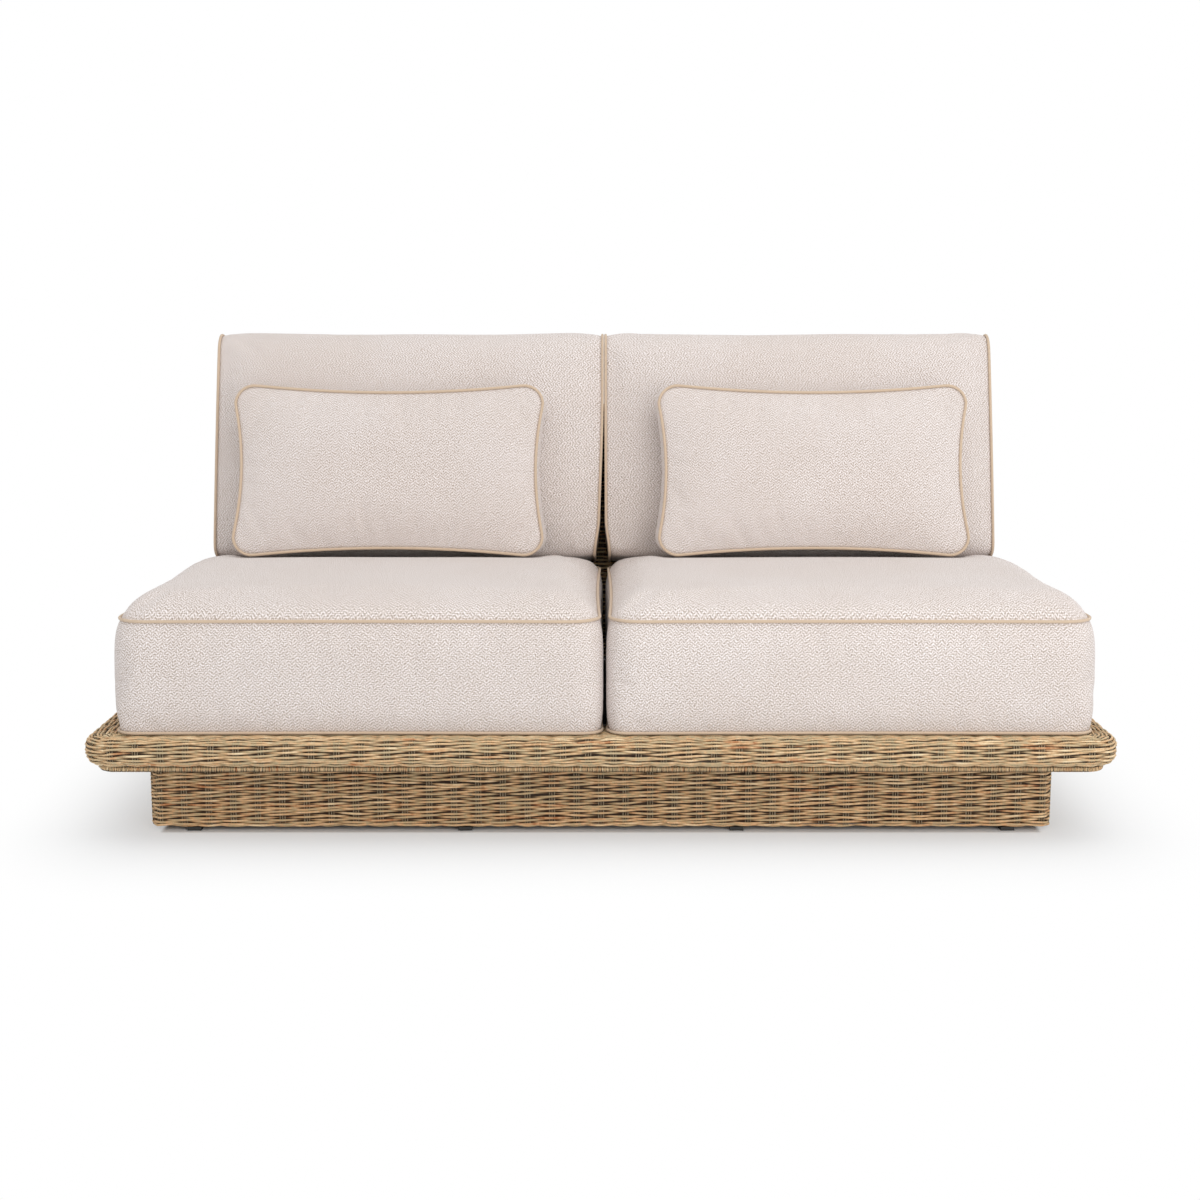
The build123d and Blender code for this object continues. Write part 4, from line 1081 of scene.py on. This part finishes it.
class SOFA_OT_tray_weave(bpy.types.Operator):
    """The woven tray: rim, rounded nose, rear deck, stakes and a sheet behind them painted dark as painted
    shade
    """

    bl_idname = "sofa.tray_weave"
    bl_label = "Tray weave"

    def execute(self, context):
        weave = context.scene.sofa_weave
        finish = finish_named("Woven strand", weave_finish, weave)
        tuck = 0.004
        whole = RIM_DEPTH - NOSE + math.pi * NOSE + DECK - TRAY_BOTTOM - 2 * NOSE + tuck
        rows = ring_rows(tray_section, whole, TRAY, TRAY_COUNTS, weave)
        split = sum(whole * (k + 0.5) / len(rows) < RIM_DEPTH - NOSE for k in range(len(rows)))
        rim, nose = Guides(), Guides()
        for number, row in enumerate(rows):
            (rim if number < split else nose).add(row, number, True)
        self.rear_deck(rim, weave)
        strands("tray_rim_strands", rim, weave, finish, "tray_weave")
        strands("tray_nose_strands", nose, weave, finish)
        rods("tray_stakes", rows[::2] + rows[-1:], weave.steps, weave)
        self.shade_sheet(finish_named("Weave ground", shade_sheet_finish, weave))
        return {"FINISHED"}

    def rear_deck(self, guides, weave):
        """Straight rows from the rear rim to the foot of the back."""
        stake_gap = 2 * (TRAY_X - TRAY_CORNER) / TRAY_COUNTS[0]
        deep, reach, back_foot = TRAY_Y - RIM_DEPTH, TRAY_X - RIM_DEPTH, 0.3255
        points = round(2 * reach / stake_gap) * weave.steps
        for number in range(1, int((deep - back_foot) / weave.row_pitch) + 1):
            y = deep - number * weave.row_pitch
            places = []
            for k in range(points + 1):
                x = reach - 2 * reach * k / points
                places.append(((x, y, DECK), (0, 0, 1), (0, 1, 0), (x + TRAY_X - TRAY_CORNER) / stake_gap))
            guides.add(places, -number, False)

    def shade_sheet(self, ground):
        """A thin shell behind the rim and nose, and a plate under the rear deck, both painted dark as painted
        shade.
        """
        flat, bends, under = RIM_DEPTH - NOSE, 4, 0.104
        layers = []
        for depth in (SHADE_SHEET_NEAR, SHADE_SHEET_FAR):
            path = []
            for run in [0.0, flat] + [flat + NOSE * math.pi / 2 * k / bends for k in range(1, bends + 1)]:
                inset, height, (level, up) = tray_section(run)
                path.append((inset + level * depth, height - up * depth))
            for k in range(bends + 1):
                turned = -math.pi / 2 * k / bends
                path.append((NOSE - (NOSE - depth) * math.cos(turned),
                             TRAY_BOTTOM + NOSE + (NOSE - depth) * math.sin(turned)))
            path.append((under, TRAY_BOTTOM + depth))
            layers.append(path)
        shade_sheet = ring_shell("tray_lining", layers[0] + layers[1][::-1], TRAY, TRAY_COUNTS, ground)
        lap = 0.002
        x, y0, y1 = TRAY_X - RIM_DEPTH + lap, 0.2705, TRAY_Y - RIM_DEPTH + lap
        points = [(sx * x, y, DECK - depth) for depth in (SHADE_SHEET_FAR, SHADE_SHEET_NEAR) for y in (y0, y1)
                  for sx in (-1, 1)]
        faces = [(0, 1, 3, 2), (4, 5, 7, 6), (0, 1, 5, 4), (2, 3, 7, 6), (0, 2, 6, 4), (1, 3, 7, 5)]
        deck = link_mesh("tray_deck_lining", points, [], faces, ground)
        face_out(deck.data)
        dress(join(shade_sheet, deck), "frame", "wicker")


class SOFA_OT_tray_binding(bpy.types.Operator):
    """The wrapped border under the tray's nose"""

    bl_idname = "sofa.tray_binding"
    bl_label = "Tray binding"

    def execute(self, context):
        weave = context.scene.sofa_weave
        guides = Guides()
        guides.add([((p.x, p.y, BINDING_LEVEL), (0, 0, 1), (0, 0, 1), k)
                    for p, _, k in inner_ring(TRAY, BINDING_INSET, 0, TRAY_COUNTS, 4)], 0, True)
        piece = guides.piece("tray_binding_wraps")
        run_tree(piece, tree_named("Wrapped border", wrap_tree), width=0.0104, height=0.0056,
                 strand_radius=0.0014, pitch=0.0029, lean=0.22, seed=weave.seed,
                 finish=finish_named("Woven strand", weave_finish, weave))
        dress(piece, "frame", "binding", "tray_binding")
        aside, rise = 0.0026, 0.0046
        path = [(BINDING_INSET + dx, BINDING_LEVEL + dz) for dx, dz in
                ((-aside, -rise), (-aside, rise), (aside, rise), (aside, -rise))]
        # The binding's core takes the dark sheet's finish: painted shade between the wraps.
        ground = finish_named("Weave ground", shade_sheet_finish, weave)
        dress(ring_shell("tray_binding_core", path, TRAY, TRAY_COUNTS, ground), "frame", "binding")
        return {"FINISHED"}


class SOFA_OT_plinth_weave(bpy.types.Operator):
    """The woven plinth, turned under at its foot"""

    bl_idname = "sofa.plinth_weave"
    bl_label = "Plinth weave"

    def execute(self, context):
        weave = context.scene.sofa_weave
        # The plinth's strands are a redder copy of the woven strand, also painted lighter for the light
        # thrown up from the floor: part real colour, part painted light.
        finish = finish_named("Plinth strand", weave_finish, weave, "Plinth strand", (1.14, 1.05, 0.98))
        whole = TRAY_BOTTOM - PLINTH_FOOT - PLINTH_BEVEL + PLINTH_BEVEL * math.pi / 2 + LIP - PLINTH_BEVEL
        rows = ring_rows(plinth_section, whole, PLINTH, PLINTH_COUNTS, weave)
        guides = Guides()
        for number, row in enumerate(rows):
            guides.add(row, number + 100, True)
        strands("plinth_strands", guides, weave, finish, "plinth_weave")
        rods("plinth_stakes", rows[::4] + rows[-1:], weave.steps, weave)
        # The plinth's sheet behind its weave and under its lip is painted dark: painted shade.
        top, foot, thick, end = TRAY_BOTTOM - 0.0005, PLINTH_FOOT + SHADE_SHEET_NEAR, 0.001, 0.028
        path = [(SHADE_SHEET_NEAR, top), (SHADE_SHEET_NEAR, foot + 0.003), (0.0072, foot), (end, foot),
                (end, foot + thick), (0.0078, foot + thick), (SHADE_SHEET_FAR, foot + 0.0036), (SHADE_SHEET_FAR, top)]
        ground = finish_named("Weave ground", shade_sheet_finish, weave)
        dress(ring_shell("plinth_lining", path, PLINTH, PLINTH_COUNTS, ground), "frame", "wicker")
        return {"FINISHED"}


class SOFA_OT_back_weave(bpy.types.Operator):
    """The woven leaning back"""

    bl_idname = "sofa.back_weave"
    bl_label = "Back weave"

    def execute(self, context):
        weave = context.scene.sofa_weave
        finish = finish_named("Woven strand", weave_finish, weave)
        steps, pitch = 3, weave.row_pitch * 1.12
        foot_gap, trim, top_gap = 0.003, 0.0045, 0.0008
        count = round((BACK_HEIGHT - 2 * foot_gap) / pitch)
        rises = [foot_gap + (BACK_HEIGHT - trim) * k / count for k in range(count + 1)]
        rows = [back_places(min(rise, BACK_HEIGHT - top_gap), steps) for rise in rises]
        lower, upper = Guides(), Guides()
        for number, row in enumerate(rows):
            (lower if number < len(rows) // 2 else upper).add(row, number + 200, True)
        strands("back_strands_lower", lower, weave, finish, "back_weave")
        strands("back_strands_upper", upper, weave, finish)
        rods("back_stakes", rows[::12] + rows[-4:-1:2], steps, weave)
        # A sheet behind the back's weave, painted dark: painted shade.
        loops = [[Vector(point) - Vector(out) * SHADE_SHEET_NEAR for point, out, _, _ in row]
                 for row in rows[::12] + rows[-10:-2:2]]
        shade_sheet = shell("back_lining", loops, finish_named("Weave ground", shade_sheet_finish, weave), capped=True)
        dress(shade_sheet, "frame", "wicker")
        return {"FINISHED"}


def shoulder(distance, run):
    """Share of its full height that a panel reaches at a distance from its seam."""
    return (1 - (1 - min(max(distance, 0) / run, 1)) ** 2.6) ** 0.62


def seat_crown(x, y, half_x, front, rear):
    """Height of a seat cushion's crown over its top seam; at the rear it falls at the lean's angle."""
    crest, fall, crest_run, slope_run, blend = 0.0515, 0.008, 0.25, 0.106, 11
    ahead, behind = y - front, rear - y
    far = (rear - crest_run) - front
    shoulder_run = 0.085 + 0.06 * ease(0.36, 0.12, behind)
    wide = (crest - fall * (x / half_x) ** 2) * shoulder(half_x - abs(x), shoulder_run)
    if behind > crest_run:
        deep = crest - fall * ((far - ahead) / far) ** 2
    elif behind > slope_run:
        deep = crest - 0.0165 * ((crest_run - behind) / (crest_run - slope_run)) ** 2
    else:
        deep = 0.0066 + behind * math.tan(LEAN)
    deep *= shoulder(ahead, 0.1) * (1 - (1 - min(max(behind, 0) / 0.016, 1)) ** 2) ** 0.5
    if wide <= 0 or deep <= 0:
        return 0.0
    return (wide ** -blend + deep ** -blend) ** (-1 / blend)


class SOFA_OT_seat_cushions(bpy.types.Operator):
    """Two boxed seat cushions with crowned tops and piping at both seams"""

    bl_idname = "sofa.seat_cushions"
    bl_label = "Seat cushions"

    def execute(self, context):
        cushions = context.scene.sofa_cushions
        half_x, front, rear = 0.448, -0.475, 0.265
        half_y, centre = (rear - front) / 2, (front + rear) / 2
        corner, corner_growth, pull = 0.034, 0.02, 0.004
        floor, low, high = 0.2006, 0.2036, 0.4093
        zip_level, zip_half, sink, zip_clear = 0.30480, 0.32, 0.0146, 0.014
        crown_limit, gap, even_levels = 0.0568, 0.0025, 18
        seam_inset, inset_growth, dent_depth, slow_wave = 0.005, 0.004, 0.008, 0.0012
        top_pucker, top_fade, band_pucker, band_fade = 0.0016, 0.03, 0.0013, 0.02
        rear_held, zip_held, held_fade = 0.10, 0.012, 0.02
        zip_lines = [(zip_level + side * d - low) / (high - low) for d in ZIP_LINES for side in (-1, 1)]
        levels = sorted({*[k / even_levels for k in range(even_levels + 1)], *zip_lines})
        levels = [v for v in levels if v in (0, 1) or min(abs(v - e) for e in zip_lines) < 1e-9
                  or abs(v * (high - low) + low - zip_level) > zip_clear]
        for name, side in SIDES.items():
            middle = side * (half_x + gap) + SHIFT

            def place(s, t, level, face):
                inset = (seam_inset + inset_growth * level) * abs(2 * level - 1) ** 5
                bounds = (middle - half_x + inset, middle + half_x - inset, front + inset, rear - inset)
                x, y = drawn_place(s, t, bounds, corner + corner_growth * level, pull)
                z = low + (high - low) * level
                rim = max(abs(s), abs(t))
                if face == -1:
                    return Vector((x, y, z - (low - floor) * (1 - rim ** 12))), 1.0
                if face == 1:
                    near = math.exp(-(1 - rim) * half_x / top_fade)
                    aside = abs(abs(x) - PILLOW_MIDDLE)
                    dent = dent_depth * ease(0.36, 0.29, aside) * ease(0.0, 0.06, y) * ease(0.19, 0.14, y)
                    z += seat_crown(s * half_x, centre + t * half_y, half_x, front, rear)
                    z += (waves(slow_wave, x * 4, y * 4, side * 3.1) - dent) * (rim < 1)
                    z += pucker((x, y, 0), side, top_pucker) * near * (rim < 1)
                    hold = 1.0 if rim >= 1 else min(1.0, max(0.0, 1 - (rear - y - rear_held) / 0.05))
                    return Vector((x, y, z)), hold
                near = math.exp(-min(level, 1 - level) * (high - low) / band_fade)
                push = pucker((x, y, z * 0.6), side + 5, band_pucker) * near
                out = Vector((x - middle, (y - centre) * 1.2)).normalized()
                x, y = x + out.x * push, y + out.y * push
                hold = 0.0
                if t >= 1:
                    y -= groove(abs(z - zip_level), y - (rear - sink)) * zip_share(x - middle, zip_half)
                    hold = min(1.0, max(0.0, 1 - (abs(z - zip_level) - zip_held) / held_fade))
                if (x - middle) * side < 0 and abs(s) >= 1:
                    hold = max(hold, 0.8)
                return Vector((x, y, z)), hold

            def outward(point, row):
                turn = corner + 0.008 + corner_growth * row
                away = Vector((beyond(point.x - middle, half_x - turn),
                               beyond(point.y - centre, half_y - turn), 0))
                return (away.normalized() + Vector((0, 0, 0.25 if row else -0.05))).normalized()

            grid = grid_lines(half_x, cushions.panel), grid_lines(half_y, cushions.panel), levels
            boxed = Boxed(f"seat_{name}", cushions, grid, (half_x, half_y), place)
            boxed.swell(Vector((0, 0, high)), Vector((0, 0, 1)), crown_limit)
            boxed.piping(boxed.seams, outward)
            boxed.finish(0.85)
        return {"FINISHED"}


class SOFA_OT_back_cushions(bpy.types.Operator):
    """Two leaning cushions whose front wraps over the top, piped round their end gussets"""

    bl_idname = "sofa.back_cushions"
    bl_label = "Back cushions"

    def execute(self, context):
        cushions = context.scene.sofa_cushions
        reach, foot, top, rear, front = 0.419, 0.210, 0.707, 0.0008, 0.1583
        half_v, half_z = (top - foot) / 2, (front - rear) / 2
        zip_rise, zip_half, sink = 0.280, 0.30, 0.0151
        crown_limit, gap, turn = 0.0236, 0.002, 0.034
        corners = {(1, 1): 0.046, (-1, 1): 0.030, (1, -1): 0.030, (-1, -1): 0.022}
        seam, plain, end_inset, inner_bulge, outer_bulge = reach - 0.0018, 0.34, 0.0065, 0.0033, 0.0045
        crown_depth, arch_foot, arch_trim = 0.019, 0.03, 0.076
        slow_wave, seam_pucker, seam_fade = 0.0022, 0.0020, 0.03
        for name, side in SIDES.items():
            middle = side * (reach + gap) + SHIFT

            def outline(s, t, inset):
                """Forward and rise on the end gusset's outline; its four corners have their own radii."""
                corner = corners[(1 if s > 0 else -1, 1 if t > 0 else -1)]
                return drawn_place(s, t, (rear + inset, front - inset, foot + inset, top - inset),
                                   corner - inset, 0.0)

            def place(s, t, level, face):
                x = (2 * level - 1) * seam
                end = max(0.0, (abs(x) - plain) / (seam - plain))
                forward, rise = outline(s, t, end_inset * end ** 2.5)
                if x * side < 0:
                    slack = (0.009 if side < 0 else 0.001) * ease(0.57, foot, rise)
                    slack += 0.008 * ease(0.29, foot, rise)
                    x -= math.copysign(slack * min(1, abs(x) / seam) ** 8, x)
                rim = max(abs(s), abs(t))
                if face:
                    x += face * (inner_bulge if face * side < 0 else outer_bulge) * (1 - rim ** 6)
                    hold = 0.85 if rim < 1 else 1.0
                crown = crown_depth * (1 - 0.8 * min(1, abs(x) / seam) ** 6)
                up = (rise - foot - arch_foot) / (top - foot - arch_trim)
                if s > 0:
                    arch = crown * max(0.0, 1 - (2 * min(max(up, 0), 1) - 1) ** 2) ** 0.8
                    forward += arch * s ** 3
                if t > 0:
                    rise += crown * 0.3 * t ** 3 * max(0.0, 1 - (2 * (forward / front) - 1) ** 2)
                if face == 0:
                    near = math.exp(-(seam - abs(x)) / seam_fade)
                    ripple = pucker((forward, rise, 0), side + 11, seam_pucker) * near
                    wave = waves(slow_wave, x * 5.5, rise * 5.5, side * 7.7)
                    if s >= 1 or (t >= 1 and s > -0.6):
                        forward += (ripple + wave) * max(0.0, s)
                        rise += (ripple + wave * 0.6) * max(0.0, t) ** 6
                    if s <= -1:
                        forward += groove(abs(rise - zip_rise), sink - forward) * zip_share(x, zip_half)
                    hold = 1.0 if s <= -1 else (0.7 if t <= -1 else 0.0)
                    if abs(x) > seam - 0.025:
                        hold = max(hold, 0.6)
                return lean(middle + x, rise, forward), hold

            def outward(point, row):
                here = point - lean(0, (foot + top) / 2, (rear + front) / 2)
                away = lean_way(0, beyond(here.dot(UPWARD), half_v - turn),
                                beyond(here.dot(FORWARD), half_z - turn))
                return (away.normalized() + Vector((0.15 if row else -0.15, 0, 0))).normalized()

            zip_lines = [(zip_rise + way * d - (foot + top) / 2) / half_v for d in ZIP_LINES
                         for way in (-1, 1)]
            count = round(2 * seam / cushions.panel)
            grid = (grid_lines(half_z, cushions.panel), grid_lines(half_v, cushions.panel, zip_lines),
                    [k / count for k in range(count + 1)])
            boxed = Boxed(f"back_{name}", cushions, grid, (half_z, half_v), place)
            boxed.swell(lean(0, 0, front), FORWARD, crown_limit)
            boxed.piping(boxed.seams, outward)
            boxed.finish(0.75)
        return {"FINISHED"}


class SOFA_OT_pillows(bpy.types.Operator):
    """Two boxed pillows that stand against the back cushions, piped round the front"""

    bl_idname = "sofa.pillows"
    bl_label = "Pillows"

    def execute(self, context):
        cushions = context.scene.sofa_cushions
        half_x, rear, front, foot_level, height = 0.327, 0.1949, 0.2789, 0.4671, 0.360
        zip_half, corner, pull, widen, drop = 0.17, 0.038, 0.015, 0.003, 0.010
        crown_limit, band_levels, turn, seam_inset, zip_face = 0.0298, 9, 0.050, 0.009, 0.1883
        flank_x, flank_v, front_crown, rear_crown = 0.24, 0.17, 0.0245, 0.0112
        slow_wave, seam_pucker, seam_fade = 0.0016, 0.0026, 0.022
        half_v = height / 2
        seat_foot = (foot_level - DECK - front * math.sin(LEAN)) / math.cos(LEAN)
        top = seat_foot + height
        for name, side in SIDES.items():
            middle = side * PILLOW_MIDDLE

            def place(s, t, level, face):
                forward = rear + (front - rear) * level
                foot = (foot_level - DECK - forward * math.sin(LEAN)) / math.cos(LEAN)
                inset = seam_inset * abs(2 * level - 1) ** 2.2
                bounds = (middle - half_x - widen + inset, middle + half_x + widen - inset,
                          foot - drop + inset * 0.6, top - inset)
                x, rise = drawn_place(s, t, bounds, corner, pull)
                if not face:
                    return lean(x, rise, forward), 1.0 if t <= -1 else 0.2
                rim = max(abs(s), abs(t))
                edge_x, edge_v = (1 - abs(s)) * half_x, (1 - abs(t)) * half_v
                share = ((1 - (1 - min(edge_x / flank_x, 1)) ** 2.3) ** 0.75 *
                         (1 - (1 - min(edge_v / flank_v, 1)) ** 2.3) ** 0.75)
                near = math.exp(-min(edge_x, edge_v) / seam_fade)
                ripple = pucker((x, rise, 0), side + 21, seam_pucker) * near * (rim < 1)
                wave = waves(slow_wave, x * 8, rise * 8, side * 2.3) * share
                if face == 1:
                    forward += front_crown * share + ripple + wave
                    return lean(x, rise, forward), 1.0 if rim >= 1 else 0.0
                forward -= rear_crown * share
                deep = max(0.0, zip_face - forward)
                forward += groove(abs(t) * half_v, deep) * zip_share(x - middle, zip_half)
                return lean(x, rise, forward), 1.0

            def outward(point, row):
                here = point - lean(middle, (seat_foot + top) / 2, front)
                away = lean_way(beyond(here.x, half_x - turn), beyond(here.dot(UPWARD), half_v - turn), 0)
                return (away.normalized() + lean_way(0, 0, 0.3)).normalized()

            zip_lines = [way * d / half_v for d in ZIP_LINES for way in (-1, 1)]
            grid = (grid_lines(half_x, cushions.panel), grid_lines(half_v, cushions.panel, zip_lines),
                    [k / band_levels for k in range(band_levels + 1)])
            boxed = Boxed(f"pillow_{name}", cushions, grid, (half_x, half_v), place)
            boxed.swell(lean(0, 0, front), FORWARD, crown_limit)
            boxed.piping(boxed.seams[1:], outward)
            boxed.finish(0.7)
        return {"FINISHED"}


class SOFA_OT_frame_parts(bpy.types.Operator):
    """Finishes for the tubes, plates, bolts, webbing, glides, foam and zips"""

    bl_idname = "sofa.frame_parts"
    bl_label = "Frame parts"

    def execute(self, context):
        finishes = {
            "frame": metal_finish("Powder coat", tint("6E655A"), 0.55, 0.0, 900.0),
            "fasteners": metal_finish("Plain steel", tint("B9BBBC"), 0.32, 1.0, 700.0),
            "slider": metal_finish("Zip slider metal", tint("A89E8C"), 0.34, 1.0, 900.0),
            "webbing": webbing_finish(),
            "nylon": nylon_finish(),
            "foam": finish_named("Cut foam", foam_finish),
            "zip_tape": tape_finish(),
        }
        slots = {part["node"]: part["material_slot"] for part in frame["record"]["subparts"]}
        for name, node in frame["nodes"].items():
            if slots[name] in finishes:
                node.data.materials.clear()
                node.data.materials.append(finishes[slots[name]])
        return {"FINISHED"}


class SOFA_PT_panel(bpy.types.Panel):
    """The sofa's settings and steps"""

    bl_idname = "SOFA_PT_panel"
    bl_label = "Garden sofa"
    bl_space_type = "VIEW_3D"
    bl_region_type = "UI"
    bl_category = "Sofa"

    def draw(self, context):
        for group in GROUPS:
            settings = getattr(context.scene, group)
            box = self.layout.box()
            for name in settings.__annotations__:
                box.prop(settings, name)
        for operator in OPERATORS:
            self.layout.operator(operator.bl_idname)


OPERATORS = (SOFA_OT_stage, SOFA_OT_frame_parts, SOFA_OT_plinth_weave, SOFA_OT_tray_weave,
             SOFA_OT_tray_binding, SOFA_OT_back_weave, SOFA_OT_seat_cushions, SOFA_OT_back_cushions,
             SOFA_OT_pillows)
GROUPS = {"sofa_stage": SofaStage, "sofa_weave": SofaWeave, "sofa_cushions": SofaCushions}


def register():
    for item in (*GROUPS.values(), *OPERATORS, SOFA_PT_panel):
        bpy.utils.register_class(item)
    for name, group in GROUPS.items():
        setattr(bpy.types.Scene, name, PointerProperty(type=group))


def unregister():
    for name in GROUPS:
        delattr(bpy.types.Scene, name)
    for item in reversed((*GROUPS.values(), *OPERATORS, SOFA_PT_panel)):
        bpy.utils.unregister_class(item)


def main():
    register()
    for operator in OPERATORS:
        getattr(bpy.ops.sofa, operator.bl_idname.split(".")[1])()


if __name__ == "__main__":
    main()
